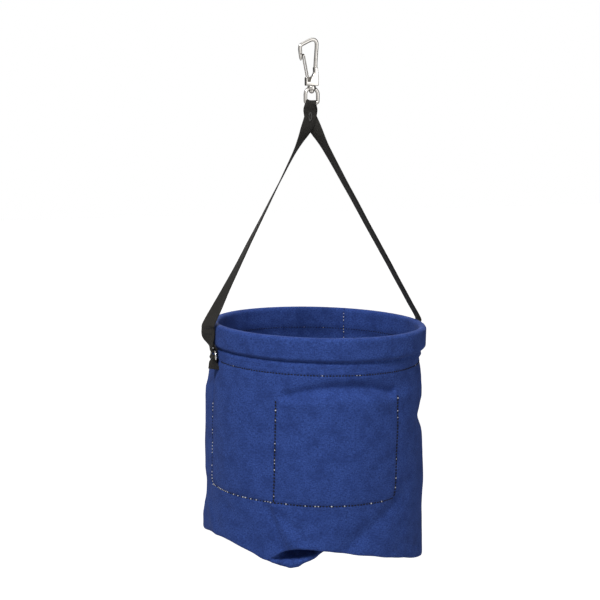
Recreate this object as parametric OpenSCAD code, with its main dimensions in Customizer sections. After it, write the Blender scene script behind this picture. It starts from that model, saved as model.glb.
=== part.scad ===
// Canvas feed bucket that hangs from a swivel snap hook on a webbing strap.
// Millimetres, +Z up. The origin is the highest point inside the hook's bow,
// where the hook bears on whatever it hangs from.

/* [Bucket] */
// Outer diameter of the canvas wall
wall_d = 305; // [240:1:380]
// Height of the bucket from its base to the top of its rim
bucket_h = 316; // [260:1:400]
// Thickness of the canvas
canvas_t = 1.5; // [1:0.1:2]
// Width of the seam allowance on the back seam
seam_w = 12; // [8:1:20]
// Tilt of the hanging bucket, right side down, in degrees
hang_tilt = 1.5; // [0:0.5:3]
// How far the bucket hangs to the right of the hook
rim_shift = 11; // [0:1:20]
// Depth of the rim's top below the hanging point
rim_drop = 397; // [370:1:460]

/* [Rim] */
// Thickness of the plastic hoop inside the rim
hoop_t = 8; // [5:0.5:10]
// Height of the hoop
hoop_h = 30; // [20:1:40]
// How far the covered rim stands out from the wall
rim_proud = 3.5; // [2:0.5:5]
// Depth of the hem's stitch row below the foot of the rim
hem_below = 18; // [13:1:27]

/* [Pocket] */
// Depth of the pocket's open edge below the top of the rim
pocket_top = 87; // [75:1:110]
// Depth of the pocket's sewn bottom row below the top of the rim
pocket_bottom = 230; // [190:1:245]
// How far each empty pocket gapes
pocket_gape = 12; // [8:1:20]
// Places of the pocket's three upright rows round the wall, in degrees from the front
pocket_rows = [-91, -43, 25];
// Place of the back seam, in degrees from the front
seam_place = 142; // [100:1:170]

/* [Strap] */
// Width of the webbing
web_w = 19; // [15:1:20]
// Thickness of the webbing
web_t = 1.8; // [1.2:0.1:2]
// Width of the webbing where a ring or the eye pinches it
pinch_w = 9; // [8:0.5:10]
// Thread thickness
thread_t = 0.6; // [0.4:0.1:0.8]

/* [Rings and tabs] */
// Inner width of each D-ring
ring_in = 20; // [19:1:22]
// Wire diameter of the D-rings
ring_wire = 3; // [2.5:0.1:3.2]
// Depth of each ring's bar below the foot of the rim
ring_below = 14; // [13:1:19]
// Distance of each ring's bar from the wall
ring_off = 5.5; // [5.5:0.1:7]
// Width of the tab that holds a ring
tab_w = 15; // [12:1:16]
// Length of the tab below the ring's bar
tab_len = 17; // [14:1:26]

/* [Hook and swivel] */
// Wire diameter of the hook's bow
bow_d = 5.4; // [4:0.1:6]
// Length of the hook from the hanging point to the foot of its base
hook_len = 61; // [58:1:70]
// Width of the hook's base
base_w = 19; // [17:1:22]
// Thickness of the hook's base
base_t = 8; // [7:0.5:9]
// Height of the base
base_h = 12; // [11:0.5:14]
// Wire diameter of the gate
gate_wire = 1.8; // [1.4:0.1:2]
// Outer width of the swivel eye
eye_w = 24; // [22:1:28]
// Wire diameter of the eye's sides
eye_side = 5.2; // [4:0.1:5.6]
// Diameter of the eye's bottom bar
bar_d = 4.4; // [3.4:0.1:4.6]
// Height of the eye from its top to the axis of its bar
eye_h = 24; // [23:1:30]
// Diameter of the swivel's shank
post_d = 5; // [4:0.1:5.6]

/* [Hidden] */
$fn = 48;

fit = 0.3;            // gap between pieces of different bodies
running = 0.05;       // radial clearance of a pin or shank in its hole
touch = 0.05;         // gap between cloth pieces that are sewn together
eps = 0.01;
stitch_w = 0.8;       // width of a row of stitches
steel = "silver";
cloth = "mediumblue";
web = [0.12, 0.11, 0.1];
thread = [0.2, 0.2, 0.22];

wall_r = wall_d / 2;
wall_in = wall_r - canvas_t;
rim_t = hoop_t + 2 * canvas_t;
rim_r = wall_r + rim_proud;             // outside of the covered rim
rim_h = hoop_h + 2 * canvas_t;
hoop_r = rim_r - rim_t / 2;             // middle of the hoop's section
hem_in = wall_in - canvas_t;            // inside of the turned-in hem
hem_row = rim_h + hem_below;
ring_drop = rim_h + ring_below;
hem_h = hem_row + 5;
base_z = -bucket_h;
thread_r = wall_r + touch;              // where a row of thread lies on the wall

// ---------- general shapes ----------

function unit(v) = v / norm(v);
function mix(a, b, t) = a + (b - a) * t;

// A smooth curve through a list of vectors, with `n` steps between each two
function smooth(list, n) = let(last = len(list) - 1) [
    for (i = [0 : last - 1], k = [0 : n - 1])
        let(a = list[max(i - 1, 0)], b = list[i], c = list[i + 1], d = list[min(i + 2, last)], t = k / n)
        0.5 * (2 * b + (c - a) * t + (2 * a - 5 * b + 4 * c - d) * t * t
            + (3 * b - a - 3 * c + d) * t * t * t),
    list[last]];

// A closed skin over rings of points that all have the same count
module skin(rings) {
    n = len(rings[0]);
    m = len(rings);
    sides = [for (i = [0 : m - 2], j = [0 : n - 1])
        let(a = i * n + j, b = i * n + (j + 1) % n)
        each [[a, b, a + n], [b, b + n, a + n]]];
    polyhedron([for (ring = rings) each ring],
        concat([[for (j = [n - 1 : -1 : 0]) j]], sides, [[for (j = [0 : n - 1]) (m - 1) * n + j]]));
}

function tangent(pts, i) = unit(pts[min(i + 1, len(pts) - 1)] - pts[max(i - 1, 0)]);

// A round bar that follows a path in the XZ plane; each station is [x, z, radius]
module bent_bar(stations, sides) {
    pts = [for (s = stations) [s[0], 0, s[1]]];
    skin([for (i = [0 : len(pts) - 1])
        let(t = tangent(pts, i), across = cross(t, [0, 1, 0]))
        [for (k = [0 : sides - 1]) let(a = 360 * k / sides)
            pts[i] + stations[i][2] * (cos(a) * across + sin(a) * [0, 1, 0])]]);
}

// Webbing that follows a path; each station is [x, y, z, turn of its width, width]
module webbing(stations) {
    edge = web_t / 3;
    pts = [for (s = stations) [s[0], s[1], s[2]]];
    skin([for (i = [0 : len(pts) - 1])
        let(t = tangent(pts, i), turn = stations[i][3], half = stations[i][4] / 2,
            flat = [cos(turn), sin(turn), 0], w = unit(flat - (flat * t) * t), n = cross(t, w))
        [for (c = [[half, 0], [half - edge, web_t / 2], [edge - half, web_t / 2],
                   [-half, 0], [edge - half, -web_t / 2], [half - edge, -web_t / 2]])
            pts[i] + c[0] * w + c[1] * n]]);
}

// The bucket's own frame: origin at the middle of the rim's top
module in_bucket() {
    translate([rim_shift, 0, -rim_drop]) rotate([0, hang_tilt, 0]) children();
}
function hang(p) = [rim_shift + p[0] * cos(hang_tilt) + p[2] * sin(hang_tilt), p[1],
    -rim_drop - p[0] * sin(hang_tilt) + p[2] * cos(hang_tilt)];

// A band between two radii and two heights, as a full ring or an arc of `angle` from `from`
module band(r0, r1, z0, z1, from = 0, angle = 360) {
    rotate([0, 0, from - 90]) rotate_extrude(angle = angle) translate([r0, z0]) square([r1 - r0, z1 - z0]);
}

// ---------- hook and swivel ----------

bow_r = bow_d / 2;
post_gap = 0.2;                         // end play of the eye on its shank
eye_top = -hook_len - post_gap;
collar_h = eye_side;
head_h = 5;
head_r = post_d * 0.78;
shank_in = base_h * 0.55;               // length of shank inside the base
arch_z = eye_top - eye_w / 2;
bar_z = eye_top - eye_h;
gate_end = 1.6;                         // length of each gate end inside its hole
base_top = -hook_len + base_h;
gate_pivot = [-5.5, -hook_len + base_h * 0.6];
gate_off = base_t / 2 - 0.4;            // each gate leg's distance from the middle plane
recess_y = gate_off - gate_wire / 2 - fit;
nose_in = -14.1;                        // inner face of the nose
nose_tip_z = -25;
gate_top = [nose_in + fit + gate_wire / 2, -17.5];

// The bow's centre line, from the nose's tip over the top and down to the base
bow_path = [[-16.4, nose_tip_z, 1.3], [-16.6, -22, 2.1], [-17.2, -14, bow_r], [-17.6, -9.5, bow_r],
    [-16.3, -5.2, bow_r], [-11, -2.2, bow_r], [-5, 0.8, bow_r], [0, bow_r, bow_r], [4.2, 2.4, bow_r],
    [7, -0.6, bow_r], [7.4, -6, bow_r], [6.8, -15, bow_r], [6, -26, bow_r], [5.6, -36, bow_r * 1.05],
    [5.4, base_top - 2, bow_r * 1.1]];

module hook_body() color(steel) {
    bent_bar(smooth(bow_path, 4), 16);
    difference() {
        rotate([90, 0, 0]) translate([0, 0, -base_t / 2]) linear_extrude(base_t) polygon([
            [base_w / 2, -hook_len], [base_w / 2, base_top], [bow_r + 5.4, base_top + 14],
            [5.4 - bow_r, base_top + 14], [3.2, base_top + 7], [0.4, base_top + 2], [-3, base_top],
            [-base_w / 2, base_top], [-base_w / 2, -hook_len]]);
        // recesses in both faces for the gate's legs
        for (side = [-1, 1]) translate([0, side * (recess_y + base_t / 2), 0])
            rotate([90, 0, 0]) translate([0, 0, -base_t / 2]) linear_extrude(base_t) polygon([
                [-base_w / 2 + 1.6, base_top + 1], [gate_pivot[0] + 6.2, base_top + 5],
                [gate_pivot[0] + 2.2, gate_pivot[1] - 2], [gate_pivot[0] - 2, gate_pivot[1] - 2]]);
        // hole for the gate's ends and blind hole for the swivel's shank
        translate([gate_pivot[0], 0, gate_pivot[1]]) rotate([90, 0, 0])
            cylinder(h = base_t + 2, r = gate_wire / 2 + running, center = true);
        translate([0, 0, -hook_len - 1]) cylinder(h = 1 + shank_in, d = post_d);
    }
}

// Spring wire gate: two legs joined at the top, with their ends turned into the base
module gate() color(steel) {
    r = gate_wire / 2;
    lean = atan2(gate_top[0] - gate_pivot[0], gate_top[1] - gate_pivot[1]);
    leg = norm(gate_top - gate_pivot) - gate_off;
    translate([gate_pivot[0], 0, gate_pivot[1]]) rotate([0, lean, 0]) {
        for (side = [-1, 1]) {
            translate([0, side * gate_off, 0]) cylinder(h = leg, r = r);
            translate([0, side * gate_off, 0]) sphere(r = r * 1.02);
            translate([0, side * (gate_off + recess_y - gate_end) / 2, 0]) rotate([90, 0, 0])
                cylinder(h = gate_off - recess_y + gate_end, r = r, center = true);
        }
        translate([0, 0, leg]) rotate([90, 0, 90]) rotate_extrude(angle = 180)
            translate([gate_off, 0]) circle(r = r);
    }
}

// Shank that joins the hook to the eye, with a round head inside the eye
module swivel_post() color(steel) {
    translate([0, 0, -hook_len - collar_h - 2 * post_gap])
        cylinder(h = shank_in + collar_h + 2 * post_gap, d = post_d);
    translate([0, 0, -hook_len - collar_h - 2 * post_gap]) rotate_extrude() intersection() {
        translate([0, -1.6]) circle(r = head_r);
        translate([0, -head_h]) square([post_d, head_h]);
    }
}

// Eye that turns on the shank: a collar, an arch, two sides and a bottom bar
module swivel_eye() color(steel) {
    side_r = eye_side / 2;
    side_x = eye_w / 2 - side_r;
    difference() {
        union() {
            translate([0, 0, arch_z]) rotate([90, 0, 0]) rotate_extrude(angle = 180)
                translate([side_x, 0]) circle(r = side_r);
            translate([0, 0, eye_top - collar_h]) cylinder(h = collar_h, d = post_d + 7);
            for (x = [-side_x, side_x]) translate([x, 0, 0]) {
                translate([0, 0, bar_z]) cylinder(h = arch_z - bar_z, r = side_r);
                translate([0, 0, bar_z]) sphere(r = side_r * 1.01);
            }
            translate([-side_x, 0, bar_z]) rotate([0, 90, 0]) cylinder(h = 2 * side_x, d = bar_d);
        }
        translate([0, 0, eye_top - collar_h - eye_side])
            cylinder(h = collar_h + eye_side + 1, d = post_d + 2 * running);
        translate([0, 0, eye_top - collar_h - eye_side]) cylinder(h = eye_side, r = head_r + fit);
    }
}

// ---------- strap ----------

// The two legs, down from the neck where both layers are sewn together.
// Each row is [share of the way to the rim, turn of the webbing, width].
left_leg = [[0.04, 12, 18.5], [0.1, 42, 19], [0.17, 60, 19], [0.3, 68, 19], [0.45, 75, 19],
    [0.6, 84, 19], [0.72, 92, 19], [0.83, 105, 19], [0.92, 122, 19]];
right_leg = [[0.04, -30, 18.5], [0.1, -66, 19], [0.17, -78, 19], [0.3, -85, 19], [0.45, -87, 19],
    [0.6, -88, 19], [0.72, -89, 19], [0.83, -90, 19], [0.92, -90, 19]];
// The stretch beside the rim, down to the ring.
// Each row is [height over the ring's bar, distance outside the rim, turn, width, gap of the sewn end].
left_foot = [[48, 9.8, 138, 19, 0], [42, 10.6, 150, 19, 0], [34, 10.5, 152, 19, 1], [28, 9.3, 140, 17, 1],
    [22, 7.6, 118, 13.5, 1], [16.5, 6.2, 98, 10, 2]];
right_foot = [[48, 4.4, -90, 19, 0], [42, 4.9, -90, 19, 0], [34, 4.9, -90, 19, 1], [28, 4.8, -90, 17, 1],
    [22, 4.8, -90, 13, 1], [16.5, 5.2, -90, 10, 2]];

layer = web_t + fit;                     // pitch of two layers that lie together
loop_in = ring_wire / 2 + 1.5;           // inside of the strap's loop at a ring
loop_r = loop_in + web_t / 2;
ring_x = wall_r + ring_off;
ring_mid = (ring_in + ring_wire) / 2;    // radius of the ring's bow
loop_z = sqrt(pow(ring_in / 2, 2) - pow(pinch_w / 2, 2)) - fit + loop_in;
neck_z = bar_z - 18;
neck = [2.2, 1.05];                      // offset of the neck's layers from the middle
eye_in = eye_w - 2 * eye_side - 2 * fit;  // room for the webbing inside the eye
wide = web_w / 19;

// Middle line of one foot, from the top down to the loop, in the bucket's frame
function foot(side, rows) = concat(
    [for (r = rows) [side * (rim_r + r[1]), 0, r[0] - ring_drop, r[2], min(web_w, r[3] * wide)]],
    [[side * (ring_x + loop_r), 0, loop_z - ring_drop, -side * 90, pinch_w]]);
// The sewn end beside it, shifted towards the bucket
function inward(s, gap) = [s[0] + gap * sin(s[3]), s[1] - gap * cos(s[3]), s[2], s[3], s[4]];
function tail(side, rows) = let(line = foot(side, rows)) concat(
    [for (i = [0 : len(rows) - 1]) if (rows[i][4] > 0) inward(line[i], layer * (rows[i][4] == 1 ? 1 : 1.9))],
    [inward(line[len(line) - 1], 2 * loop_r)]);
function turn_back(side) = [for (a = [22.5 : 22.5 : 157.5])
    [side * (ring_x + loop_r * cos(a)), 0, loop_z - ring_drop - loop_r * sin(a), -side * 90, pinch_w]];
function hung(list) = [for (s = list) let(p = hang(s)) [p[0], p[1], p[2], s[3], s[4]]];
function flip(list) = [for (i = [len(list) - 1 : -1 : 0]) list[i]];

function leg(side, rows, feet) = let(
    top = [side * neck[0], side * neck[1], neck_z - 6],
    low = hang([side * (rim_r + feet[0][1]), 0, feet[0][0] - ring_drop]))
    [for (r = rows) let(p = mix(top, low, r[0])) [p[0], p[1], p[2], r[1], min(web_w, r[2] * wide)]];

// Half of the loop round the eye's bar, on the left leg's side or the right leg's
function over_bar(side) = let(r = bar_d / 2 + fit + web_t / 2, w = min(web_w, eye_in)) [
    [side * neck[0], side * neck[1], neck_z - 2, 0, min(web_w, 18.5 * wide)],
    [side * neck[0], side * neck[1], neck_z + 5, 0, min(web_w, 18.5 * wide)],
    [side * neck[0], side * 2, neck_z + 9, 0, min(web_w, 18 * wide)],
    [side * neck[0] * 0.7, side * (r - 0.2), bar_z - 4.5, 0, min(web_w, w + 1)],
    [side * 0.3, side * r, bar_z, 0, w],
    [side * 0.1, side * r * cos(30), bar_z + r * sin(30), 0, w],
    [0, side * r * cos(60), bar_z + r * sin(60), 0, w]];

function half_strap(side, rows, feet) = concat(
    smooth(concat(flip(over_bar(side)), leg(side, rows, feet), hung(foot(side, feet))), 4),
    hung(turn_back(side)),
    smooth(hung(flip(tail(side, feet))), 4));

module handle_strap() color(web)
    webbing(concat(flip(half_strap(-1, left_leg, left_foot)),
        [[0, 0, bar_z + bar_d / 2 + fit + web_t / 2, 0, min(web_w, eye_in)]],
        half_strap(1, right_leg, right_foot)));

layer_half = (web_t + thread_t) / 2 + 3 * touch;

// Thread block through both layers at the neck
module strap_bartack() color(thread)
    for (side = [-1, 1]) translate([side * neck[0] * 0.5, side * (neck[1] + layer_half + 3 * touch), neck_z])
        cube([5.6, thread_t, 7], center = true);

// Rows across each sewn end, on the outer face of the strap
module strap_end_stitches() color(thread)
    for (side = [-1, 1]) let(rows = side < 0 ? left_foot : right_foot)
        for (i = [1, 2]) let(s = hung(foot(side, rows))[i], out = layer_half)
            translate([s[0] - out * sin(s[3]), s[1] + out * cos(s[3]), s[2]]) rotate([0, 0, s[3]])
                cube([s[4] * 0.7, thread_t, 1], center = true);

// ---------- rings and tabs ----------

module ring(side) color(steel) in_bucket() translate([side * ring_x, 0, -ring_drop]) {
    rotate([90, 0, 90]) rotate_extrude(angle = 180) translate([ring_mid, 0]) circle(d = ring_wire);
    rotate([90, 0, 0]) cylinder(h = 2 * ring_mid, d = ring_wire, center = true);
    for (y = [-ring_mid, ring_mid]) translate([0, y, 0]) sphere(d = ring_wire * 1.02);
}
module ring_left() { ring(-1); }
module ring_right() { ring(1); }

// Webbing folded round the ring's bar, with both ends sewn to the wall
tab_in = ring_wire / 2 + fit;
tab_out = tab_in + web_t;
tab_flat = wall_r + touch;
tab_face = tab_flat + 2 * web_t;
module tab(side) color(web) in_bucket() rotate([0, 0, side > 0 ? 0 : 180])
    translate([0, tab_w / 2, 0]) rotate([90, 0, 0]) difference() {
        union() {
            translate([ring_x, -ring_drop, 0]) cylinder(h = tab_w, r = tab_out);
            linear_extrude(tab_w) polygon([[ring_x - tab_out * 0.8, -ring_drop - 1],
                [ring_x + tab_out * 0.6, -ring_drop - 1.8], [tab_face, -ring_drop - 8],
                [tab_face, -ring_drop - tab_len], [tab_flat, -ring_drop - tab_len],
                [tab_flat, -ring_drop - 5]]);
        }
        translate([ring_x, -ring_drop, -1]) cylinder(h = tab_w + 2, r = tab_in);
    }
module tab_left() { tab(-1); }
module tab_right() { tab(1); }

// Two rows of thread across each tab and two down its sides
module tab_stitching() color(thread) in_bucket() for (side = [0, 180]) rotate([0, 0, side])
    translate([tab_face + thread_t / 2, 0, -ring_drop - tab_len]) {
        for (z = [2, tab_len - 9]) translate([0, 0, z]) cube([thread_t, tab_w - 4, stitch_w], center = true);
        for (y = [-1, 1]) translate([0, y * (tab_w / 2 - 2 - stitch_w), (tab_len - 7) / 2])
            cube([thread_t, stitch_w, tab_len - 11 - 2 * stitch_w], center = true);
    }

// ---------- bucket ----------

// A section with round ends, standing upright below the top of the rim
module upright(w, h, top) {
    translate([hoop_r - w / 2, top - h + w / 2]) square([w, h - w]);
    for (z = [top - w / 2, top - h + w / 2]) translate([hoop_r, z]) circle(d = w);
}
module rim_shell() difference() {
    upright(rim_t, rim_h, 0);
    upright(hoop_t, hoop_h, -canvas_t);
}

module rim_hoop() color("ivory") in_bucket() rotate_extrude()
    upright(hoop_t - 4 * touch, hoop_h - 4 * touch, -canvas_t - 2 * touch);

// Side wall, whose top runs up outside the hoop
module canvas_wall() color(cloth) in_bucket() rotate_extrude() {
    intersection() {
        rim_shell();
        translate([wall_in, -rim_h]) square([rim_t, rim_h]);
    }
    translate([wall_in, base_z]) square([canvas_t, bucket_h - rim_h + canvas_t * 0.6]);
}

// The same cloth turned over the hoop and down inside
module rim_hem() color(cloth) in_bucket() rotate_extrude() {
    intersection() {
        rim_shell();
        translate([wall_in - rim_t, -rim_h]) square([rim_t, rim_h]);
    }
    translate([hem_in, -hem_h]) square([canvas_t, hem_h - rim_h + canvas_t * 0.6]);
}

module base_panel() color(cloth) in_bucket()
    translate([0, 0, base_z]) cylinder(h = canvas_t, r = wall_in);

// Edge of the gap behind the pocket panel at one place, sagging inwards between two rows
function gape(a, a0, a1) = pocket_gape * sin(180 * (a - a0) / (a1 - a0));
function round_wall(r, a) = [r * sin(a), -r * cos(a)];
pocket_steps = 10;
pocket_r = wall_in - touch;
function pocket_line(back) = [for (p = [0, 1]) let(a0 = pocket_rows[p], a1 = pocket_rows[p + 1])
    for (k = [0 : pocket_steps - (p == 0 ? 1 : 0)]) let(a = mix(a0, a1, k / pocket_steps))
    round_wall(pocket_r - back - gape(a, a0, a1), a)];

// One panel sewn inside the wall with a row between its two pockets
module pocket_panel() color(cloth) in_bucket() {
    translate([0, 0, -pocket_bottom]) linear_extrude(pocket_bottom - pocket_top)
        polygon(concat(pocket_line(0), flip(pocket_line(canvas_t))));
    translate([0, 0, -pocket_bottom]) linear_extrude(canvas_t)
        polygon(concat(pocket_line(canvas_t / 2),
            [for (k = [2 * pocket_steps : -1 : 0])
                round_wall(pocket_r, mix(pocket_rows[0], pocket_rows[2], k / (2 * pocket_steps)))]));
}

seam_half = seam_w / 2 / wall_r * 180 / PI;
module back_seam() color(cloth) in_bucket()
    band(hem_in, wall_in - touch, base_z + canvas_t + touch, -hem_h - touch, seam_place - seam_half, 2 * seam_half);

module hem_stitching() color(thread) in_bucket() difference() {
    band(thread_r, thread_r + thread_t, -hem_row - stitch_w / 2, -hem_row + stitch_w / 2);
    translate([0, 0, -hem_row]) cube([2 * wall_d, tab_w + 1, 4], center = true);
}

// Row just below the hoop, seen on the inside
module hoop_stitching() color(thread) in_bucket()
    band(hem_in - thread_t - touch, hem_in - touch, -rim_h - 3, -rim_h - 3 + stitch_w);

// An upright row on the inside or the outside of the wall
module upright_row(r, a, z0, z1) {
    rotate([0, 0, a - 90]) translate([r, -stitch_w / 2, z0]) cube([thread_t, stitch_w, z1 - z0]);
}
module pocket_stitching() color(thread) in_bucket() {
    for (a = pocket_rows) upright_row(thread_r, a, -pocket_bottom + 2, -pocket_top);
    band(thread_r, thread_r + thread_t, -pocket_bottom, -pocket_bottom + stitch_w,
        pocket_rows[0], pocket_rows[2] - pocket_rows[0]);
}

module seam_stitching() color(thread) in_bucket()
    upright_row(hem_in - thread_t - touch, seam_place, base_z + 10, -rim_h - 5);

module base_stitching() color(thread) in_bucket()
    band(wall_in - 4, wall_in - 4 + stitch_w, base_z + canvas_t, base_z + canvas_t + thread_t);

hook_body();
gate();
swivel_post();
swivel_eye();
handle_strap();
strap_bartack();
strap_end_stitches();
ring_left();
ring_right();
tab_left();
tab_right();
tab_stitching();
rim_hoop();
canvas_wall();
rim_hem();
base_panel();
pocket_panel();
back_seam();
hem_stitching();
hoop_stitching();
pocket_stitching();
seam_stitching();
base_stitching();
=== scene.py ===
"""Canvas feed bucket on a webbing strap and a swivel snap hook. Lengths in the tables are millimetres."""
import bisect
import math
import random

import bpy
from mathutils import Matrix, Vector, noise


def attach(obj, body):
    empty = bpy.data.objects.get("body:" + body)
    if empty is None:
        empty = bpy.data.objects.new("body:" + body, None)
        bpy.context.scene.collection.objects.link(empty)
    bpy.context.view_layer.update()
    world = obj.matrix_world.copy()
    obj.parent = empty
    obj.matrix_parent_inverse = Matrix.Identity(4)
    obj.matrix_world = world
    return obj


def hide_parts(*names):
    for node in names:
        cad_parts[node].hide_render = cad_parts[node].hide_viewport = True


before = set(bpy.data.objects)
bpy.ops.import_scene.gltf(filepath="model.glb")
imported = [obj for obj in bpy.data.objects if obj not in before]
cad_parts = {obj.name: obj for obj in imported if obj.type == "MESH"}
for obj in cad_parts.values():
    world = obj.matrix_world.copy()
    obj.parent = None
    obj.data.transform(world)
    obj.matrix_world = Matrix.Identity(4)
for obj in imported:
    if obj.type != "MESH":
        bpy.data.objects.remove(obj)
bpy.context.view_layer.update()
bpy.ops.object.select_all(action="DESELECT")

MM = 0.001
TILT = math.radians(1.5)                  # the bucket hangs with its right side down
RIM_PLACE = Vector((11.0, 0.0, -397.0))   # middle of the rim's top
WALL_R = 152.5
ARC_MM = 2.66                             # length of a degree of the wall
CLOTH = 1.5                               # canvas thickness
# The cuff round the hoop: radius of its middle, half its thickness, height
HOOP_R, CUFF_HALF, CUFF_H = 150.5, 5.5, 33.0
HEM_DEPTH, HEM_ROW = 56.0, 51.0           # inner edge of the turned-in cloth, and the row that holds it
POCKET_TOP, POCKET_BOTTOM = 87.0, 230.0
POCKET_ROWS = (-91.0, -43.0, 25.0)        # angles of the upright pocket rows
SEAM_PLACE = 142.0                        # angle of the back seam
BASE_MID = 311.0                          # depth of the base at its middle
# Both D-rings: distance from the middle, depth of the bar, half the bow's width, wire diameter
RING_X, RING_DROP, RING_MID, RING_WIRE = 158.0, 47.0, 11.5, 3.0
WEB_T, WEB_W = 1.8, 19.0


def hang(x, y, z):
    """A point of the bucket, whose origin is the middle of the rim's top, in the part's frame."""
    return Vector((x * math.cos(TILT) + z * math.sin(TILT), y,
                   -x * math.sin(TILT) + z * math.cos(TILT))) + RIM_PLACE


def round_wall(r, angle, z):
    """A point of the bucket at an angle from the front, positive towards the right ring."""
    a = math.radians(angle)
    return hang(r * math.sin(a), -r * math.cos(a), z)


def spline(xs, ys, x):
    """Smooth curve through the points of a table, flat beyond its ends."""
    if x <= xs[0]:
        return ys[0]
    if x >= xs[-1]:
        return ys[-1]
    i = bisect.bisect_right(xs, x) - 1
    h = xs[i + 1] - xs[i]
    t = (x - xs[i]) / h

    def slope(k):
        if k == 0 or k == len(xs) - 1:
            return 0.0
        d0 = (ys[k] - ys[k - 1]) / (xs[k] - xs[k - 1])
        d1 = (ys[k + 1] - ys[k]) / (xs[k + 1] - xs[k])
        return 0.0 if d0 * d1 <= 0 else 2 * d0 * d1 / (d0 + d1)
    m0, m1 = slope(i) * h, slope(i + 1) * h
    t2, t3 = t * t, t * t * t
    return ((2 * t3 - 3 * t2 + 1) * ys[i] + (t3 - 2 * t2 + t) * m0
            + (3 * t2 - 2 * t3) * ys[i + 1] + (t3 - t2) * m1)


def ease(low, high, x):
    """0 below low, 1 above high and smooth between them; it falls where high is the lower value."""
    t = min(1.0, max(0.0, (x - low) / (high - low)))
    return t * t * (3 - 2 * t)


def wrap(angle):
    """The same angle between -180 and 180."""
    return (angle + 180.0) % 360.0 - 180.0


def ripple(x, y, z, size):
    """Soft random waves of about the given size, the same on every run."""
    return noise.noise(Vector((x, y, z)) / size)


# ---------------------------------------------------------------- making meshes

def place(name, verts, faces, smooth=True):
    """A new object at the origin from points in millimetres."""
    mesh = bpy.data.meshes.new(name)
    mesh.from_pydata([Vector(v) * MM for v in verts], [], faces)
    mesh.update()
    obj = bpy.data.objects.new(name, mesh)
    bpy.context.collection.objects.link(obj)
    if smooth:
        mesh.polygons.foreach_set("use_smooth", [True] * len(mesh.polygons))
    return obj


def select_only(obj):
    bpy.ops.object.select_all(action="DESELECT")
    bpy.context.view_layer.objects.active = obj
    obj.select_set(True)


def apply_all(obj):
    select_only(obj)
    for m in list(obj.modifiers):
        bpy.ops.object.modifier_apply(modifier=m.name)
    obj.select_set(False)


def thicken(obj, thickness, offset=-1.0, even=True):
    m = obj.modifiers.new("cloth thickness", "SOLIDIFY")
    m.thickness = thickness * MM
    m.offset = offset
    m.use_even_offset = even
    m.use_quality_normals = True
    apply_all(obj)


def woven(name, rows, across, along, closed=False):
    """A cloth grid from rows of points, with a UV map in metres of cloth. `across` and `along` give
    each point's place on the flat cloth, as [row][column] and [row][column]."""
    n, m = len(rows[0]), len(rows)
    verts = [p for row in rows for p in row]
    faces, corners = [], []
    for i in range(m - 1):
        for j in range(n if closed else n - 1):
            k = (j + 1) % n
            faces.append((i * n + j, i * n + k, (i + 1) * n + k, (i + 1) * n + j))
            wide = [across[i][j], across[i][k] if k else across[i][-1],
                    across[i + 1][k] if k else across[i + 1][-1], across[i + 1][j]]
            high = [along[i][j], along[i][k], along[i + 1][k], along[i + 1][j]]
            corners.append(list(zip(wide, high)))
    obj = place(name, verts, faces)
    uv = obj.data.uv_layers.new(name="cloth")
    spot = 0
    for face in corners:
        for u, v in face:
            uv.data[spot].uv = (u * MM, v * MM)
            spot += 1
    return obj


# ---------------------------------------------------------------- finishes

def new_group(name, inputs, outputs):
    """A shader node group with named sockets; each input is (name, type, default)."""
    group = bpy.data.node_groups.new(name, "ShaderNodeTree")
    for label, kind, value in inputs:
        sock = group.interface.new_socket(label, in_out="INPUT", socket_type=kind)
        sock.default_value = value
    for label, kind in outputs:
        group.interface.new_socket(label, in_out="OUTPUT", socket_type=kind)
    return group, group.nodes.new("NodeGroupInput"), group.nodes.new("NodeGroupOutput")


def math_node(tree, op, a, b=None, c=None, clamp=False):
    n = tree.nodes.new("ShaderNodeMath")
    n.operation = op
    n.use_clamp = clamp
    for k, v in enumerate((a, b, c)):
        if v is None:
            continue
        if isinstance(v, (int, float)):
            n.inputs[k].default_value = v
        else:
            tree.links.new(v, n.inputs[k])
    return n.outputs[0]


def noise_node(tree, vector, scale, detail=3.0, rough=0.55):
    n = tree.nodes.new("ShaderNodeTexNoise")
    n.inputs["Detail"].default_value = detail
    n.inputs["Roughness"].default_value = rough
    tree.links.new(vector, n.inputs["Vector"])
    if isinstance(scale, (int, float)):
        n.inputs["Scale"].default_value = scale
    else:
        tree.links.new(scale, n.inputs["Scale"])
    return n.outputs["Fac"]


def stretch(tree, vector, scale):
    n = tree.nodes.new("ShaderNodeMapping")
    n.inputs["Scale"].default_value = scale
    tree.links.new(vector, n.inputs["Vector"])
    return n.outputs["Vector"]


def ramp(tree, value, low, high):
    n = tree.nodes.new("ShaderNodeMapRange")
    n.inputs["From Min"].default_value = low
    n.inputs["From Max"].default_value = high
    tree.links.new(value, n.inputs["Value"])
    return n.outputs["Result"]


def weave_group():
    """Plain weave: threads over and under each other, from the cloth's own UV map in metres."""
    g, gin, gout = new_group("plain weave", [("Cloth", "NodeSocketVector", (0, 0, 0)),
                                             ("Threads", "NodeSocketFloat", 900.0)],
                             [("Height", "NodeSocketFloat"), ("Threads mask", "NodeSocketFloat")])
    sep = g.nodes.new("ShaderNodeSeparateXYZ")
    g.links.new(gin.outputs["Cloth"], sep.inputs[0])
    u = math_node(g, "MULTIPLY", sep.outputs[0], gin.outputs["Threads"])
    v = math_node(g, "MULTIPLY", sep.outputs[1], gin.outputs["Threads"])
    su = math_node(g, "SINE", math_node(g, "MULTIPLY", u, math.pi))
    sv = math_node(g, "SINE", math_node(g, "MULTIPLY", v, math.pi))
    cross = math_node(g, "MULTIPLY", su, sv)
    crowns = math_node(g, "ABSOLUTE", cross)
    g.links.new(crowns, gout.inputs["Height"])
    over = ramp(g, cross, -0.6, 0.6)
    g.links.new(over, gout.inputs["Threads mask"])
    return g


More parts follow.
